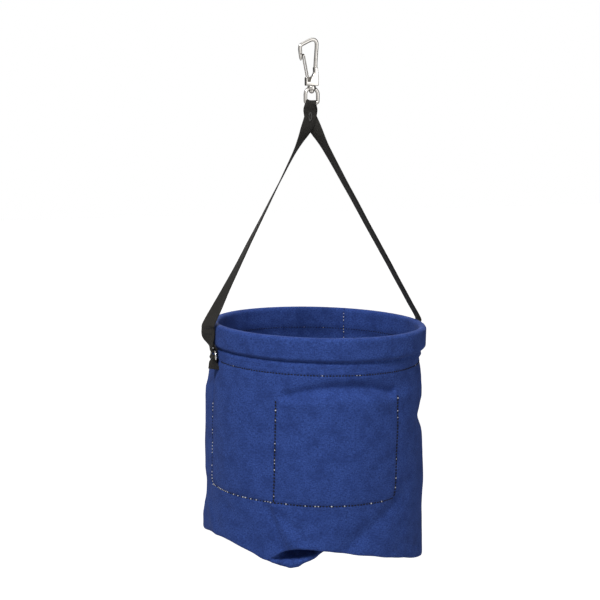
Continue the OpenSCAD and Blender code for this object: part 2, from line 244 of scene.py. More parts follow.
def heather_group():
    """Slubs and faded flecks of a dyed cloth as a mask around 0.5, and its cloudy patches around 0.85."""
    g, gin, gout = new_group("cloth flecks", [("Cloth", "NodeSocketVector", (0, 0, 0)),
                                              ("Fleck", "NodeSocketFloat", 420.0)],
                             [("Mask", "NodeSocketFloat"), ("Patches", "NodeSocketFloat")])
    fine = noise_node(g, stretch(g, gin.outputs["Cloth"], (1.6, 0.7, 1.0)), gin.outputs["Fleck"], 4.0, 0.7)
    cross = noise_node(g, stretch(g, gin.outputs["Cloth"], (0.6, 1.9, 1.0)), gin.outputs["Fleck"], 3.0, 0.65)
    both = math_node(g, "MULTIPLY", math_node(g, "ADD", fine, cross), 0.5)
    g.links.new(both, gout.inputs["Mask"])
    cloud = math_node(g, "MULTIPLY_ADD", noise_node(g, gin.outputs["Cloth"], 48.0, 3.0, 0.6), 1.9, -0.1)
    g.links.new(cloud, gout.inputs["Patches"])
    return g


WEAVE, HEATHER = weave_group(), heather_group()


def put_group(tree, group, **values):
    n = tree.nodes.new("ShaderNodeGroup")
    n.node_tree = group
    for label, value in values.items():
        if isinstance(value, (int, float)):
            n.inputs[label].default_value = value
        else:
            tree.links.new(value, n.inputs[label])
    return n


def start_material(name):
    m = bpy.data.materials.new(name)
    m.use_nodes = True
    tree = m.node_tree
    return m, tree, tree.nodes["Principled BSDF"]


def mix_colour(tree, factor, a, b):
    n = tree.nodes.new("ShaderNodeMix")
    n.data_type = "RGBA"
    tree.links.new(factor, n.inputs["Factor"])
    for k, value in ((6, a), (7, b)):
        if isinstance(value, tuple):
            n.inputs[k].default_value = (*value, 1.0)
        else:
            tree.links.new(value, n.inputs[k])
    return n.outputs[2]


def bump(tree, bsdf, height, strength, distance, before=None):
    n = tree.nodes.new("ShaderNodeBump")
    n.inputs["Strength"].default_value = strength
    n.inputs["Distance"].default_value = distance
    tree.links.new(height, n.inputs["Height"])
    if before is not None:
        tree.links.new(before, n.inputs["Normal"])
    tree.links.new(n.outputs["Normal"], bsdf.inputs["Normal"])
    return n.outputs["Normal"]


def cloth_uv(tree):
    n = tree.nodes.new("ShaderNodeUVMap")
    n.uv_map = "cloth"
    return n.outputs["UV"]


def canvas_material(name, dark, light, sheen):
    """Heavy plain-woven cotton canvas, a little faded on its high threads."""
    m, tree, bsdf = start_material(name)
    uv = cloth_uv(tree)
    flecks = put_group(tree, HEATHER, Cloth=uv, Fleck=430.0)
    weave = put_group(tree, WEAVE, Cloth=uv, Threads=900.0)
    base = mix_colour(tree, ramp(tree, flecks.outputs["Mask"], 0.36, 0.64), dark, light)
    tone = mix_colour(tree, ramp(tree, flecks.outputs["Patches"], 0.0, 1.0), dark, base)
    under = mix_colour(tree, ramp(tree, weave.outputs["Threads mask"], -1.6, 1.0), dark, tone)
    tree.links.new(under, bsdf.inputs["Base Color"])
    tree.links.new(ramp_to(tree, flecks.outputs["Mask"], 0.82, 0.98), bsdf.inputs["Roughness"])
    bsdf.inputs["Specular IOR Level"].default_value = 0.18
    bsdf.inputs["Sheen Weight"].default_value = sheen
    bsdf.inputs["Sheen Roughness"].default_value = 0.5
    bsdf.inputs["Sheen Tint"].default_value = (0.35, 0.45, 0.9, 1.0)
    first = bump(tree, bsdf, weave.outputs["Height"], 0.5, 0.0004)
    bump(tree, bsdf, flecks.outputs["Mask"], 0.35, 0.0009, first)
    return m


def ramp_to(tree, value, low, high):
    n = tree.nodes.new("ShaderNodeMapRange")
    n.inputs["To Min"].default_value = low
    n.inputs["To Max"].default_value = high
    tree.links.new(value, n.inputs["Value"])
    return n.outputs["Result"]


def webbing_material(name, dark, light):
    """Narrow woven webbing: ribs across, herringbone columns along, with painted shade darkening the grooves
    between the ribs.
    """
    m, tree, bsdf = start_material(name)
    uv = cloth_uv(tree)
    sep = tree.nodes.new("ShaderNodeSeparateXYZ")
    tree.links.new(uv, sep.inputs[0])
    column = math_node(tree, "MULTIPLY", sep.outputs[0], 1150.0)
    column = math_node(tree, "ABSOLUTE", math_node(tree, "SINE", column))
    slant = math_node(tree, "ADD", math_node(tree, "MULTIPLY", sep.outputs[1], 2900.0),
                      math_node(tree, "MULTIPLY", column, 1.6))
    ribs = math_node(tree, "ABSOLUTE", math_node(tree, "SINE", slant))
    height = math_node(tree, "MULTIPLY", ribs, math_node(tree, "ADD", column, 0.4))
    flecks = put_group(tree, HEATHER, Cloth=uv, Fleck=700.0)
    tone = mix_colour(tree, ramp(tree, flecks.outputs["Mask"], 0.35, 0.68), dark, light)
    # Painted shade: the colour darkens towards the low parts of the ribs, as the shade in the grooves
    shade = mix_colour(tree, ramp(tree, height, -0.3, 1.0), dark, tone)
    tree.links.new(shade, bsdf.inputs["Base Color"])
    tree.links.new(ramp_to(tree, flecks.outputs["Mask"], 0.6, 0.9), bsdf.inputs["Roughness"])
    bsdf.inputs["Specular IOR Level"].default_value = 0.3
    bsdf.inputs["Sheen Weight"].default_value = 0.06
    bsdf.inputs["Sheen Roughness"].default_value = 0.45
    bump(tree, bsdf, height, 0.7, 0.0004)
    return m


def object_place(tree):
    return tree.nodes.new("ShaderNodeTexCoord").outputs["Object"]


def metal_material(name, dark, light, rough_low, rough_high):
    """Nickel plate with faint drawing marks and small dulled patches."""
    m, tree, bsdf = start_material(name)
    spot = object_place(tree)
    marks = noise_node(tree, stretch(tree, spot, (1.0, 1.0, 0.12)), 900.0, 3.0, 0.6)
    dull = noise_node(tree, spot, 160.0, 3.0, 0.6)
    tree.links.new(mix_colour(tree, ramp(tree, dull, 0.3, 0.7), dark, light), bsdf.inputs["Base Color"])
    tree.links.new(ramp_to(tree, dull, rough_low, rough_high), bsdf.inputs["Roughness"])
    bsdf.inputs["Metallic"].default_value = 1.0
    bump(tree, bsdf, marks, 0.12, 0.00012)
    return m


def thread_material(name, dark, light, rough=0.7):
    """Twisted sewing thread."""
    m, tree, bsdf = start_material(name)
    spot = object_place(tree)
    ply = noise_node(tree, spot, 1900.0, 2.0, 0.5)
    tree.links.new(mix_colour(tree, ramp(tree, ply, 0.35, 0.65), dark, light), bsdf.inputs["Base Color"])
    bsdf.inputs["Roughness"].default_value = rough
    bsdf.inputs["Specular IOR Level"].default_value = 0.15
    bump(tree, bsdf, ply, 0.4, 0.0002)
    return m


CANVAS = canvas_material("blue canvas", (0.0094, 0.0246, 0.123), (0.0585, 0.124, 0.458), 0.05)
WEBBING = webbing_material("black webbing", (0.0075, 0.0066, 0.0053), (0.0225, 0.0203, 0.0165))
NICKEL = metal_material("nickel plate", (0.39, 0.372, 0.347), (0.535, 0.515, 0.488), 0.1, 0.26)
# Painted shade: near-black steel for the floors of the gate recesses, darkened to stand for the shade that
# falls in them
RECESS_SHADE_STEEL = metal_material("steel painted dark for recess shade", (0.05, 0.045, 0.04), (0.1, 0.092, 0.082), 0.35, 0.5)
GATE_STEEL = metal_material("sprung steel wire", (0.2, 0.185, 0.165), (0.32, 0.3, 0.275), 0.18, 0.32)
DARK_THREAD = thread_material("dark sewing thread", (0.004, 0.005, 0.011), (0.012, 0.014, 0.026))
PALE_THREAD = thread_material("pale bobbin thread", (0.42, 0.44, 0.5), (0.75, 0.76, 0.8))
# Partly painted light: the bartack's thread is black, and its colour is lightened to grey as a painted sheen
# of its glinting loops
SHEEN_GREY_THREAD = thread_material("black bartack thread with painted grey sheen", (0.05, 0.05, 0.05), (0.14, 0.14, 0.135))


def hoop_material():
    m, tree, bsdf = start_material("hoop plastic")
    spot = object_place(tree)
    cloud = noise_node(tree, spot, 60.0, 3.0, 0.5)
    tree.links.new(mix_colour(tree, ramp(tree, cloud, 0.3, 0.7), (0.6, 0.58, 0.52), (0.7, 0.68, 0.62)),
                   bsdf.inputs["Base Color"])
    bsdf.inputs["Roughness"].default_value = 0.5
    bump(tree, bsdf, cloud, 0.1, 0.0005)
    return m


HOOP = hoop_material()


def finish_with(obj, *materials):
    obj.data.materials.clear()
    for m in materials:
        obj.data.materials.append(m)
    return obj


def belongs(obj, body, slot, *nodes):
    """Hangs the piece on its body and hides the CAD nodes that it stands for; the slot argument is not used.
    """
    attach(obj, body)
    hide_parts(*nodes)
    return obj


# ---------------------------------------------------------------- bucket's cloth

# How far the slack wall stands out from its cylinder: rows by depth, columns by angle from the front
STAND_ANGLES = [-145, -107, -91, -67, -43, -22, 0, 25, 45, 63, 95, 142, 180]
STAND_DEPTHS = [33, 41, 51, 66, 76, 88, 99, 115, 135, 154, 169, 215, 238, 253, 275, 291, 320, 350]
STAND_OUT = [
    [0, 0, 0, 0, 0, 0, 0, 0, -1, -2, -1, 0, 0],
    [-1, -1, -1, -1, -1.2, -1, -1.2, -2, -3.5, -5.5, -3, -1, -1],
    [0, 0.5, 0.3, 0, 0, 0, 0, -1, -3, -5, -3, -0.5, 0],
    [2, 4, 2.5, 1.2, 1, -0.8, -2.6, -2.5, -2.2, -2.5, -1, 1, 1],
    [2, 4.5, 3, 2, 1.5, -0.6, -2.6, -2.5, -1.8, -1.2, 0, 1.5, 1],
    [3, 6, 4, 3.5, 2, 2.4, 2.2, 1, 0.5, -0.3, 1, 2, 2],
    [4, 8.5, 5, 5, 1, 3.8, 4.6, 1, 0.5, 0, 2, 2, 2],
    [4, 9, 5, 5.5, 1, 4.6, 5.2, 1.5, 0.5, -1.8, 2, 3, 3],
    [4, 9, 5, 5.5, 1, 4.8, 5.4, 1.8, -0.5, -4.3, 1, 3, 3],
    [4, 9, 5, 5.5, 1, 4.8, 5.4, 2, 1.5, 1.6, 2, 3, 3],
    [4, 9, 5, 5.5, 1, 4.8, 5.4, 2, 2.6, 3.6, 3, 3, 3],
    [3, 8, 5, 5, 1, 4.4, 5.0, 2, 4, 6.5, 4, 2.5, 2],
    [2, 5, 3, 3, 0.4, 2.2, 2.4, 1.4, 4.6, 7.2, 5, 2, 2],
    [2, 4.8, 3, 3, 0.2, 3, 1.6, 1.2, 4.6, 7.2, 5, 2, 2],
    [3, 8, 4.5, 4, -0.6, 5, 0.6, 2.4, 4.8, 7.4, 5, 2, 2],
    [3.5, 10, 5, 4, -1.5, 6, 0.6, 3.4, 5.2, 7.6, 5, 2, 2],
    [3.5, 10, 5, 4, 0, 5, 1.4, 4, 6, 8.6, 5, 2, 2],
    [3.5, 10, 5, 4, 0, 5, 1.4, 4, 7, 9.6, 5, 2, 2],
]
# Soft folds: their line as (angle, depth) points, how far out or in, half width in millimetres
FOLDS = [
    ([(-38, 82), (-28, 74), (-16, 69.5), (-6, 68.5), (5, 70), (14, 74), (21, 80)], -5.6, 6.5),
    ([(-34, 94), (-12, 85), (4, 85), (17, 91)], 1.8, 7),
    ([(-43, 232), (-41, 250), (-33, 285)], 2.4, 5),
    ([(-47, 240), (-42, 262), (-38, 292)], -2.8, 7),
    ([(-40, 246), (-31, 266), (-27, 280)], -2.2, 6),
    ([(26, 236), (12, 262), (-4, 292)], -3.2, 11),
    ([(-30, 236), (-12, 240)], -0.8, 7),
    ([(-75, 250), (-60, 280)], -1.4, 12),
    ([(-95, 262), (-84, 298)], 1.6, 9),
    ([(48, 120), (66, 140)], -1.2, 9),
    ([(52, 62), (60, 100)], 1.0, 8),
    ([(30, 300), (52, 316)], -1.6, 10),
    ([(120, 250), (150, 300)], -2.0, 12),
    ([(170, 240), (200, 290)], 2.0, 12),
    ([(-150, 100), (-130, 150)], -1.5, 14),
    ([(95, 90), (110, 160)], 1.5, 14),
    ([(-125, 230), (-135, 300)], -2.2, 11),
    ([(80, 240), (95, 320)], -1.8, 12),
]
# Depth of the sewn bottom edge round the bucket
EDGE_ANGLES = [-107, -96, -85, -72, -62, -54, -47, -43.4, -41.7, -37.4, -33.7, -30.6, -27, -22, -17.7, -15,
               -8.8, -2.3, 8, 20, 37, 52, 63, 75, 95, 120, 150, 180, 210, 232, 253]
EDGE_DEPTHS = [310, 304, 300.5, 299, 303, 308, 312.5, 309, 306, 298.5, 294.5, 292, 291, 291.3, 292.6, 293.2,
               296.5, 300.6, 305.5, 313, 324, 335, 340, 336, 326, 317, 314, 317, 315, 311, 310]


def ring_spline(angles, values, angle):
    """Smooth table round the bucket, which closes on itself."""
    a = (angle - angles[0]) % 360.0
    xs = [x - angles[0] for x in angles]
    ys = list(values)
    if xs[-1] < 360.0:
        xs.append(360.0)
        ys.append(ys[0])
    lead = [xs[-2] - 360.0] + xs + [xs[1] + 360.0]
    vals = [ys[-2]] + ys + [ys[1]]
    return spline(lead, vals, a)


def edge_depth(angle):
    """Depth of the wall's sewn edge, a little uneven."""
    return ring_spline(EDGE_ANGLES, EDGE_DEPTHS, angle) + 0.7 * ripple(angle * 2.6, 5, 0, 22)


def from_fold(angle, depth, line):
    """Distance in millimetres from a fold's line."""
    nearest = 1e9
    for start, end in zip(line, line[1:]):
        ax, ay = wrap(angle - start[0]) * ARC_MM, depth - start[1]
        bx, by = wrap(end[0] - start[0]) * ARC_MM, end[1] - start[1]
        t = min(1.0, max(0.0, (ax * bx + ay * by) / (bx * bx + by * by)))
        nearest = min(nearest, math.hypot(ax - bx * t, ay - by * t))
    return nearest


FOLD_REACH = 45                           # degrees past which a fold can't be felt
stand_columns = {}                        # the columns of STAND_OUT already worked out, by angle


def stand_out(angle, depth):
    """How far the wall stands out at a place, with its folds and its sewn rows drawn in."""
    key = round(wrap(angle), 3)
    if key not in stand_columns:
        stand_columns[key] = [ring_spline(STAND_ANGLES, row, key) for row in STAND_OUT]
    out = spline(STAND_DEPTHS, stand_columns[key], depth)
    for line, height, width in FOLDS:
        if min(abs(wrap(key - line[0][0])), abs(wrap(key - line[-1][0]))) > FOLD_REACH:
            continue
        d = from_fold(key, depth, line)
        if d < 3 * width:
            out += height * math.exp(-(d / width) ** 2)
    x = key * ARC_MM
    free = ease(36, 60, depth)
    out += free * (1.1 * ripple(x, depth, 1, 58) + 0.45 * ripple(x, depth * 0.6, 2, 21))
    out += 0.16 * ripple(x, depth, 3, 7)
    return out - row_pull(key, depth)


def dent(far, deep, half):
    """A groove's depth at a distance from its middle."""
    return deep * math.exp(-(far / half) ** 2)


def row_pull(angle, depth):
    """Cloth drawn in along each row of stitches."""
    pull = 0.0
    if POCKET_TOP - 4 < depth < POCKET_BOTTOM + 4:
        for row in POCKET_ROWS:
            pull += dent(wrap(angle - row) * ARC_MM, 0.9, 2.4)
    if POCKET_ROWS[0] - 2 < angle < POCKET_ROWS[2] + 2:
        pull += dent(depth - POCKET_BOTTOM, 0.9, 2.4)
    return pull + dent(depth - HEM_ROW, 0.8, 2.2)


def arc(cx, cz, r, a0, a1, n):
    """Points of an arc in the bucket's section; 0 degrees points outwards, 90 up."""
    return [(cx + r * math.cos(math.radians(a0 + (a1 - a0) * k / n)),
             cz + r * math.sin(math.radians(a0 + (a1 - a0) * k / n))) for k in range(n + 1)]


# The canvas inside, from the hoop's inner face down to the hem: depth, radius
SLOPE_DEPTHS = [5.5, 24.0, 27.0, 30.5, 34.0, 37.5, 41.0, 44.5, 48.0, 56.0]
SLOPE_R = [145.0, 145.0, 145.2, 145.9, 146.8, 147.6, 148.3, 148.8, 149.1, 149.25]


def slope_spot(angle, depth, lift=0.05):
    """A place on the inner face between hoop and hem, and its direction towards the bucket's middle."""
    r = spline(SLOPE_DEPTHS, SLOPE_R, depth) + stand_out(angle, depth) * ease(40, 48, depth) - lift
    here = round_wall(r, angle, -depth)
    return here, (round_wall(0, 0, -depth) - here).normalized()


def cuff_section():
    """Outer face of the canvas from under the cuff, over the hoop and down to the hem inside."""
    low = -CUFF_H + CUFF_HALF
    path = [(151.6, -37.0), (150.9, -35.0), (150.8, -33.6)]
    path += arc(HOOP_R, low, CUFF_HALF, -78, 0, 6)
    path += [(HOOP_R + CUFF_HALF, low + (22.0 * k) / 7) for k in range(1, 7)]
    path += arc(HOOP_R, -CUFF_HALF, CUFF_HALF, 0, 180, 12)
    path += [(HOOP_R - CUFF_HALF, -CUFF_HALF - (18.5 * k) / 6) for k in range(1, 7)]
    path += [(r, -depth) for depth, r in zip(SLOPE_DEPTHS[2:7], SLOPE_R[2:7])]
    return path


def wall_angles():
    """Columns of the wall's mesh: even, and closer together beside each upright row of stitches."""
    fine_step, even_step, fine_half = 0.45, 1.6, 2.8
    fine = [row + fine_step * k for row in POCKET_ROWS for k in range(-5, 6)]
    even = [-180 + even_step * j for j in range(round(360 / even_step))]
    return sorted(fine + [a for a in even if min(abs(a - row) for row in POCKET_ROWS) > fine_half])


def wall_depths(edge):
    """Rows of the wall's mesh from its lower edge up to the cuff, closer together at its rows of stitches."""
    below, above, hem = POCKET_BOTTOM + 7, POCKET_BOTTOM - 7, HEM_ROW + 7
    depths = [edge + (below - edge) * k / 20 for k in range(20)] + [below - k for k in range(14)]
    depths += [above - (above - hem) * k / 42 for k in range(42)] + [hem - k for k in range(14)]
    return depths + [43.5, 41.0, 38.5]


def bucket_cloth():
    """One canvas sheet: the wall from its bottom edge, over the hoop, and down inside to the hem."""
    angles = wall_angles()
    count = len(angles)
    # the lower edge turned in at the base's seam: distance behind the face, height over the edge
    tuck = [(-6.5, 1.9), (-4.6, 0.7), (-2.8, 0.1), (-1.3, 0.5), (-0.4, 1.7)]
    section = cuff_section()
    hem_depths = [44.5, 48, 50, 52, 54, HEM_DEPTH]
    columns = []
    for a in angles:
        edge = edge_depth(a)
        column = [(WALL_R + stand_out(a, edge) + back, up - edge) for back, up in tuck]
        column += [(WALL_R + stand_out(a, depth), -depth) for depth in wall_depths(edge - 3.4)]
        tuck_in = stand_out(a, 38.0)
        wave = 0.35 * ripple(a * ARC_MM, 0, 9, 46) + 0.18 * ripple(a * ARC_MM, 0, 4, 13)
        for r, z in section:
            grip = ease(-28, -38, z) if r > HOOP_R else 0.0
            lift = wave * ease(-14, -33, z) * 1.6
            column.append((r + grip * tuck_in + wave * (1 if z > -33 else 0.4), z + lift))
        for depth in hem_depths:
            r = spline(SLOPE_DEPTHS, SLOPE_R, depth) + stand_out(a, depth) * ease(40, 48, depth)
            column.append((r + (0.5 if depth > 53 else 0), -depth))
        columns.append(column)
    rows = [[round_wall(columns[j][i][0], angles[j], columns[j][i][1]) for j in range(count)]
            for i in range(len(columns[0]))]
    across = [[WALL_R * math.radians(a) for a in angles] + [WALL_R * math.pi]] * len(rows)
    along = [[-edge_depth(a) for a in angles]]
    for lower, upper in zip(rows, rows[1:]):
        along.append([along[-1][j] + (upper[j] - lower[j]).length for j in range(count)])
    cloth = woven("canvas_wall_cloth", rows, across, along, closed=True)
    thicken(cloth, CLOTH)
    finish_with(cloth, CANVAS)
    return belongs(cloth, "bucket", "canvas", "canvas_wall", "rim_hem")


wall = bucket_cloth()


# The base bulges out below the front edge: angle, how far below the edge, how far behind the wall's face
POUCH_ANGLES = [-107, -60, -47, -43.4, -40, -37.4, -33.7, -30.6, -27, -21.2, -17.7, -14, 0, 60, 180, 253]
POUCH_DROP = [0, 0, 1.0, 8, 17.5, 23.5, 28, 28, 23, 15.5, 6.5, 0.5, 0, 0, 0, 0]
POUCH_BACK = [5, 4.6, 1.2, 2.0, 4.2, 6, 8.5, 10, 11.5, 12.5, 12.5, 12, 8, 5, 5, 5]
BASE_COLUMNS = 360
# Rows of the base's mesh, counted in points of its section: four to each point of the rim and the fold,
# then six to each point of the flat
BASE_STEPS = [k / 4 for k in range(28)] + [7 + k / 6 for k in range(25)]
BASE_SEAM_ROW = 3                         # the mesh row that the base's stitches follow


def base_section(angle):
    """The base's cloth as (radius, height): up at the wall, back and down round the fold, then inwards."""
    edge = edge_depth(angle)
    face = WALL_R + stand_out(angle, edge)
    drop = ring_spline(POUCH_ANGLES, POUCH_DROP, angle)
    back = ring_spline(POUCH_ANGLES, POUCH_BACK, angle)
    bulge, hollow = ease(0, 10, drop), ease(3, 24, drop)
    tuck = 1.2 * (1 - bulge)
    rim = [(face - 2.8, 15 - edge), (face - max(back, 4.2) - 8 * hollow, 5 + 2.5 * hollow - edge)]
    fold = [(face - back - 0.2 - 25 * hollow, 0.9 + 2 * hollow - edge - 0.12 * drop),
            (face - back - 0.6 - tuck - 19 * hollow, 0.6 - edge - 0.46 * drop),
            (face - back - 1.0 - tuck - 3 * hollow, 0.5 - edge - 0.80 * drop),
            (face - back - 3.2 - 2 * bulge, 0.4 - edge - drop),
            (face - back - 10 - 5 * bulge, 0.2 - edge - 0.98 * drop)]
    outer, inner = 2.2 * math.sin(math.radians(2 * angle + 40)), 1.6 * math.sin(math.radians(3 * angle))
    flat = [(0.80 * face, -0.75 * (edge + 0.7 * drop) - 0.25 * (BASE_MID - 5)),
            (0.60 * face, -0.42 * edge - 0.58 * (BASE_MID - 4) + outer),
            (0.38 * face, -0.2 * edge - 0.8 * (BASE_MID - 2) + inner),
            (0.18 * face, 1 - BASE_MID), (0.02 * face, -BASE_MID)]
    return rim + fold + flat


def base_column(angle):
    """Points of the base along one radius: (radius, height, length of cloth from its rim)."""
    section = base_section(angle)
    marks = range(len(section))
    radii, heights = [p[0] for p in section], [p[1] for p in section]
    column, reach, last = [], 0.0, None
    for t in BASE_STEPS:
        r, z = spline(marks, radii, t), spline(marks, heights, t)
        if last:
            reach += math.hypot(r - last[0], z - last[1])
        last = (r, z)
        x, y = r * math.sin(math.radians(angle)), -r * math.cos(math.radians(angle))
        slack = ease(6, 46, reach) * (r / 150)
        waves = slack * (1.5 * ripple(x, y, 11, 46) + 0.5 * ripple(x, y, 17, 17))
        column.append((r, z + waves, reach))
    return column


def base_cloth():
    """The round base: sewn in at the wall's foot, slack, and pushed out in a fold at the front. Also gives
    the places of its row of stitches."""
    angles = [-180 + 360.0 * j / BASE_COLUMNS for j in range(BASE_COLUMNS)]
    columns = [base_column(a) for a in angles]
    n, m = BASE_COLUMNS, len(BASE_STEPS)
    rows = [[round_wall(columns[j][i][0], angles[j], columns[j][i][1]) for j in range(n)] for i in range(m)]
    verts = [p for row in rows for p in row] + [hang(0, 0, -BASE_MID)]
    faces = [(i * n + j, (i + 1) * n + j, (i + 1) * n + (j + 1) % n, i * n + (j + 1) % n)
             for i in range(m - 1) for j in range(n)]
    faces += [((m - 1) * n + j, m * n, (m - 1) * n + (j + 1) % n) for j in range(n)]
    base = place("base_cloth", verts, faces)
    uv = base.data.uv_layers.new(name="cloth")
    whole = columns[0][-1][2]
    flat = [(whole - c[i][2], a) for i in range(m) for c, a in zip(columns, angles)] + [(0.0, 0.0)]
    for loop in base.data.loops:
        r, a = flat[loop.vertex_index]
        uv.data[loop.index].uv = (r * math.sin(math.radians(a)) * MM, r * math.cos(math.radians(a)) * MM)
    thicken(base, CLOTH, offset=1.0, even=False)
    finish_with(base, CANVAS)
    belongs(base, "bucket", "canvas", "base_panel")
    middle = round_wall(0, 0, -300)
    stitch_row = [(p, Vector((middle.x - p.x, middle.y - p.y, 0)).normalized()) for p in rows[BASE_SEAM_ROW]]
    return base, stitch_row


GAPE = 11.5                               # how far the middle of a pocket's mouth stands open


def pocket_cloth():
    """Panel of two slack pockets sewn inside the wall, open at the top."""
    low, high = POCKET_ROWS[0] - 2.5, POCKET_ROWS[2] + 2.5
    columns, depths = 96, 40
    rows, across, along = [], [], []
    for i in range(depths + 1):
        t = i / depths
        row, wide, high_at = [], [], []
        for j in range(columns + 1):
            a = low + (high - low) * j / columns
            gape = 0.0
            for k in range(2):
                a0, a1 = POCKET_ROWS[k], POCKET_ROWS[k + 1]
                if a0 < a < a1:
                    gape = GAPE * math.sin(math.pi * (a - a0) / (a1 - a0)) ** 1.3
            dip = 2.5 * gape / GAPE
            depth = (POCKET_BOTTOM + 4) + (POCKET_TOP + dip - POCKET_BOTTOM - 4) * t
            open_up = ease(0.0, 1.0, t * 1.1) * 0.85 + 0.15 * ease(0, 0.15, t)
            out = stand_out(a, depth)
            r = WALL_R + out - CLOTH - 0.35 - gape * open_up
            r -= 0.6 * ripple(a * 2.6, depth, 31, 24) * gape / GAPE + 0.3 * gape / GAPE
            row.append(round_wall(r, a, -depth))
            wide.append(151 * math.radians(a))
            high_at.append(-depth)
        rows.append(row)
        across.append(wide)
        along.append(high_at)
    pocket = woven("pocket_cloth", rows, across, along)
    thicken(pocket, CLOTH)
    finish_with(pocket, CANVAS)
    return belongs(pocket, "bucket", "canvas", "pocket_panel")


def seam_cloth():
    """The back seam's allowance, lying flat against the inside of the wall."""
    half, columns, depths = 6.0, 8, 90
    rows, across, along = [], [], []
    for i in range(depths + 1):
        edge = edge_depth(SEAM_PLACE) - 16
        depth = edge + (HEM_DEPTH + 0.8 - edge) * i / depths
        row = []
        for j in range(columns + 1):
            s = -half + 2 * half * j / columns
            a = SEAM_PLACE + math.degrees(s / WALL_R)
            lip = 0.35 * ripple(s * 3, depth, 3, 19) * abs(s) / half
            r = WALL_R + stand_out(a, depth) - CLOTH - 0.25 - 0.35 * (1 - (s / half) ** 2) - lip
            row.append(round_wall(r, a, -depth))
        rows.append(row)
        across.append([-half + 2 * half * j / columns for j in range(columns + 1)])
        along.append([-depth] * (columns + 1))
    seam = woven("back_seam_cloth", rows, across, along)
    thicken(seam, 1.2)
    finish_with(seam, CANVAS)
    return belongs(seam, "bucket", "canvas", "back_seam")


base, base_seam_row = base_cloth()
pocket = pocket_cloth()
seam = seam_cloth()


# ---------------------------------------------------------------- sewing

def thread_lobe(length, width, height, sides=8, rings=4):
    """One stitch: a short plump thread lying along X, flat side down."""
    verts, faces = [], []
    for i in range(rings + 1):
        t = -1 + 2 * i / rings
        swell = math.sqrt(max(0.0, 1 - abs(t) ** 3)) * 0.85 + 0.15
        for k in range(sides):
            a = 2 * math.pi * k / sides
            verts.append((0.5 * length * t, 0.5 * width * swell * math.cos(a),
                          height * (0.5 + 0.5 * math.sin(a)) * swell - 0.15 * height - 0.35 * height * t * t))
    for i in range(rings):
        for k in range(sides):
            n = (k + 1) % sides
            faces.append((i * sides + k, (i + 1) * sides + k, (i + 1) * sides + n, i * sides + n))
    faces.append(tuple(range(sides)))
    faces.append(tuple(rings * sides + k for k in range(sides - 1, -1, -1)))
    return verts, [tuple(reversed(f)) for f in faces]


class Sewing:
    """Collects stitches for one piece. Each run is a list of places with the cloth's outward direction."""

    def __init__(self, seed):
        self.verts, self.faces, self.tints = [], [], []
        self.chance = random.Random(seed)

    def lobe(self, at, along, out, length, width, height, tint):
        along = along.normalized()
        side = out.cross(along).normalized()
        up = along.cross(side).normalized()
        turn = Matrix((along, side, up)).transposed()
        verts, faces = thread_lobe(length, width, height)
        first = len(self.verts)
        self.verts += [at + turn @ Vector(v) for v in verts]
        self.faces += [tuple(first + i for i in f) for f in faces]
        self.tints += [tint] * len(faces)

    def run(self, path, pitch, length, width=0.95, height=0.85, knots=0.3, knot=1.0, lean=0.0, off=0.12):
        """Stitches at a pitch along a path of (point, outward), with bobbin knots at some needle holes."""
        reach = [0.0]
        for (p, _), (q, _) in zip(path, path[1:]):
            reach.append(reach[-1] + (q - p).length)
        count = max(1, int(reach[-1] / pitch))
        step = reach[-1] / count

        def at(s):
            i = min(len(path) - 2, max(0, bisect.bisect_right(reach, s) - 1))
            t = (s - reach[i]) / max(1e-9, reach[i + 1] - reach[i])
            return path[i][0].lerp(path[i + 1][0], t), path[i][1].lerp(path[i + 1][1], t).normalized()
        for k in range(count):
            s = (k + 0.5) * step
            here, out = at(s)
            before, after = at(max(0.0, s - 1.0))[0], at(min(reach[-1], s + 1.0))[0]
            along = (after - before).normalized()
            side = out.cross(along)
            along_leant = along + side * (lean + self.chance.uniform(-0.06, 0.06))
            size = self.chance.uniform(0.9, 1.06)
            self.lobe(here + out * off, along_leant, out, length * size, width, height * size, 0)
            if self.chance.random() < knots:
                spot, out = at(min(reach[-1], s + 0.5 * step))
                big = self.chance.uniform(0.8, 1.2) * knot
                self.lobe(spot + out * (off + 0.1), along, out, 1.25 * big, 1.15 * big, 0.8 * big, 1)

    def piece(self, name, body, node, *materials):
        obj = place(name, self.verts, self.faces)
        finish_with(obj, *materials)
        obj.data.polygons.foreach_set("material_index", self.tints)
        return belongs(obj, body, "thread", node)


def wall_spot(angle, depth, inside=0.0):
    """A place on the wall and its outward direction; `inside` is the layers' thickness for an inner face."""
    def spot(a, d):
        return round_wall(WALL_R + stand_out(a, d) - inside, a, -d)
    here = spot(angle, depth)
    round_way = spot(angle + 0.4, depth) - spot(angle - 0.4, depth)
    up_way = spot(angle, depth - 1) - spot(angle, depth + 1)
    out = round_way.cross(up_way).normalized()
    return here, (-out if inside else out)


def round_run(a0, a1, depth, inside=0.0):
    """Places along a level row, 0.6 degrees apart."""
    n = max(2, int(abs(a1 - a0) / 0.6))
    return [wall_spot(a0 + (a1 - a0) * k / n, depth, inside) for k in range(n + 1)]


def upright_run(angle, d0, d1, inside=0.0):
    """Places along an upright row, 2 mm apart."""
    n = max(2, int(abs(d1 - d0) / 2))
    return [wall_spot(angle, d0 + (d1 - d0) * k / n, inside) for k in range(n + 1)]


